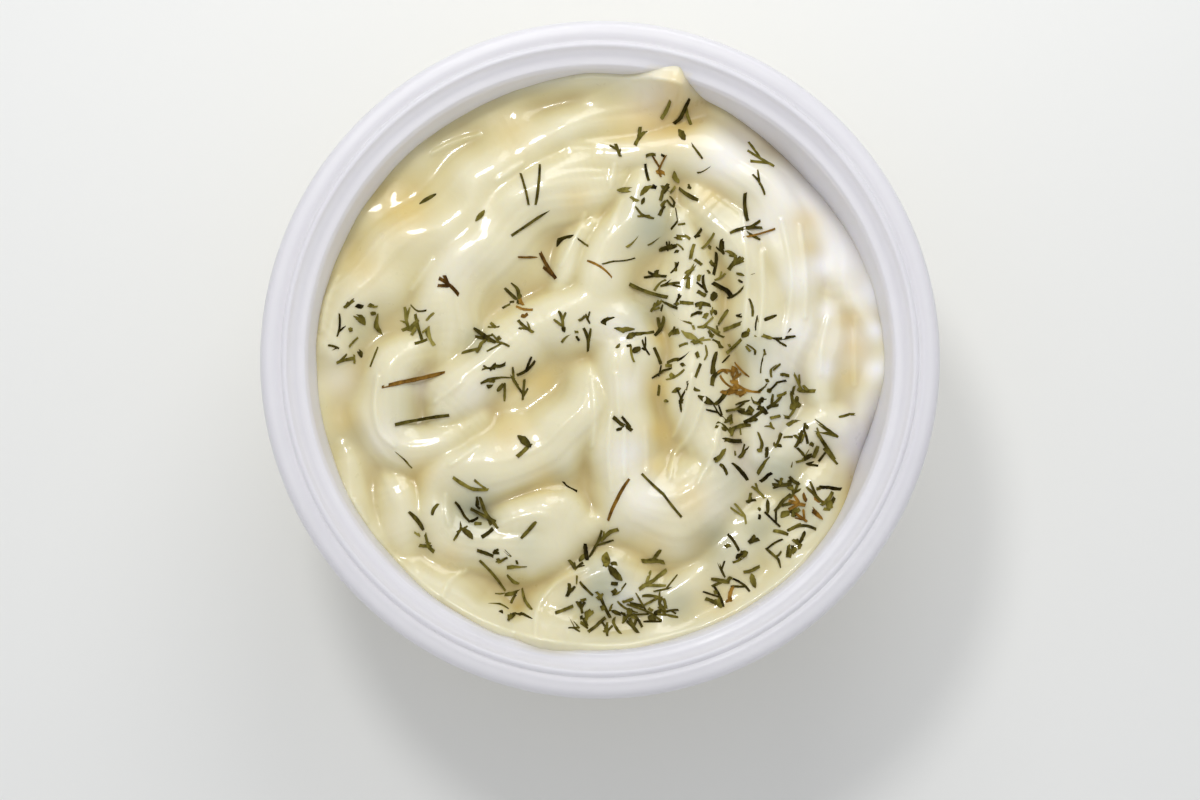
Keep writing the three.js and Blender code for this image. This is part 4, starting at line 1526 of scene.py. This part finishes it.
    def branch(self, flake: Flake, side: int, draw: Draw) -> Flake:
        """Lays out a side needle.

        Args:
            flake: The needle that it grows from.
            side: 1 for its left, or -1 for its right.
            draw: Random draws.

        Returns:
            The side needle.
        """
        turned = flake.heading + side * between(self.side_turn, draw)
        length = flake.length * between(self.side_length, draw)
        start = flake.length * between(self.side_start, draw)
        stem, away = math.radians(flake.heading), math.radians(turned)
        x = flake.x + start * math.cos(stem) + length / 2 * math.cos(away)
        y = flake.y + start * math.sin(stem) + length / 2 * math.sin(away)
        return Flake(*self.kept_inside(x, y, length), turned, length, 0.0, flake.herb)

    def build(self) -> list[bpy.types.Object]:
        """Makes one piece for each kind of herb.

        Returns:
            The pieces.
        """
        pieces = []
        flakes = [*self.flakes(), *self.crumbs()]
        draw = seeded_random(self.shape_seed)
        for herb in Herb:
            bm = bmesh.new()
            bm.verts.layers.float.new("tone")
            for flake in flakes:
                if flake.herb is herb:
                    self.lay(bm, flake, draw)
            bmesh.ops.recalc_face_normals(bm, faces=bm.faces)
            bmesh.ops.solidify(bm, geom=bm.faces[:], thickness=self.thickness * MM)
            leaf = herb.value
            pieces.append(finish_piece(leaf.name, bm, leaf.material(), "garlic_dip", smooth=False))
        return pieces


@dataclass(frozen=True)
class SoftLight:
    """A round light: its side and height in degrees, its distance and width in metres, and its watts."""

    name: str
    azimuth: float
    elevation: float
    distance: float
    size: float
    power: float


@dataclass
class Studio:
    """A plain pale table, soft lights and the camera above the tub."""

    tub: Tub
    camera_distance: float = 300.0
    camera_tilt: float = 3.5
    view_width: float = 131.6
    aim_y: float = -4.8
    sensor_width: float = 36.0
    floor_size: float = 3.0
    lights: tuple[SoftLight, ...] = (
        SoftLight("key_light", 114, 62, 0.35, 0.06, 0.32),
        SoftLight("window_light", 80, 40, 0.2, 0.12, 0.13),
    )
    room: Colour = (240, 242, 248)
    room_strength: float = 0.72
    floor: PaleFloor = field(default_factory=PaleFloor)

    def build_floor(self) -> None:
        """Lays the table."""
        bm = bmesh.new()
        bmesh.ops.create_grid(bm, x_segments=1, y_segments=1, size=self.floor_size / 2)
        mesh = bpy.data.meshes.new("table_top")
        bm.to_mesh(mesh)
        bm.free()
        mesh.materials.append(self.floor.material())
        table = bpy.data.objects.new("table_top", mesh)
        bpy.context.scene.collection.objects.link(table)
        table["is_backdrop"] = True

    def add_light(self, light: SoftLight) -> None:
        """Hangs one light so that it faces the tub's rim.

        Args:
            light: Where it hangs, its width and its power.
        """
        data = bpy.data.lights.new(light.name, "AREA")
        data.shape = "DISK"
        data.size = light.size
        data.energy = light.power
        lamp = bpy.data.objects.new(light.name, data)
        side, up = math.radians(light.azimuth), math.radians(light.elevation)
        toward = Vector((math.cos(side) * math.cos(up), math.sin(side) * math.cos(up), math.sin(up)))
        lamp.location = Vector((0.0, 0.0, self.tub.height * MM)) + toward * light.distance
        lamp.rotation_euler = toward.to_track_quat("Z", "Y").to_euler()
        bpy.context.scene.collection.objects.link(lamp)

    def build_room(self) -> None:
        """Sets the room's own light, and colours as they are seen."""
        world = bpy.data.worlds.new("room")
        world.use_nodes = True
        background = world.node_tree.nodes["Background"]
        background.inputs["Color"].default_value = linear(self.room)
        background.inputs["Strength"].default_value = self.room_strength
        bpy.context.scene.world = world
        bpy.context.scene.view_settings.view_transform = "Standard"

    def build_camera(self) -> None:
        """Hangs the camera above the tub, a little towards the near side."""
        data = bpy.data.cameras.new("camera")
        data.sensor_width = self.sensor_width
        data.lens = self.sensor_width * self.camera_distance / self.view_width
        data.clip_start = 0.01
        camera = bpy.data.objects.new("camera", data)
        tilt = math.radians(self.camera_tilt)
        away = Vector((0.0, -math.sin(tilt), math.cos(tilt))) * self.camera_distance
        camera.location = (Vector((0.0, self.aim_y, self.tub.height)) + away) * MM
        camera.rotation_euler = (tilt, 0.0, 0.0)
        bpy.context.scene.collection.objects.link(camera)
        bpy.context.scene.camera = camera

    def build(self) -> None:
        """Builds the whole studio."""
        self.build_floor()
        for light in self.lights:
            self.add_light(light)
        self.build_room()
        self.build_camera()


def write_sizes() -> None:
    boxes = {"cad": CAD_BOUNDS, "visual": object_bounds()}
    plain = {name: [list(corner) for corner in corners] for name, corners in boxes.items()}


def main() -> None:
    """Builds the tub, the dip, its dill and the studio."""
    logging.basicConfig(level=logging.INFO, format="%(name)s: %(message)s")
    tub = Tub()
    dip = GarlicDip(tub)
    tub.build(dip.surface)
    dip.build()
    DillSprinkle(dip.surface).build()
    Studio(tub).build()
    write_sizes()


if __name__ == "__main__":
    main()
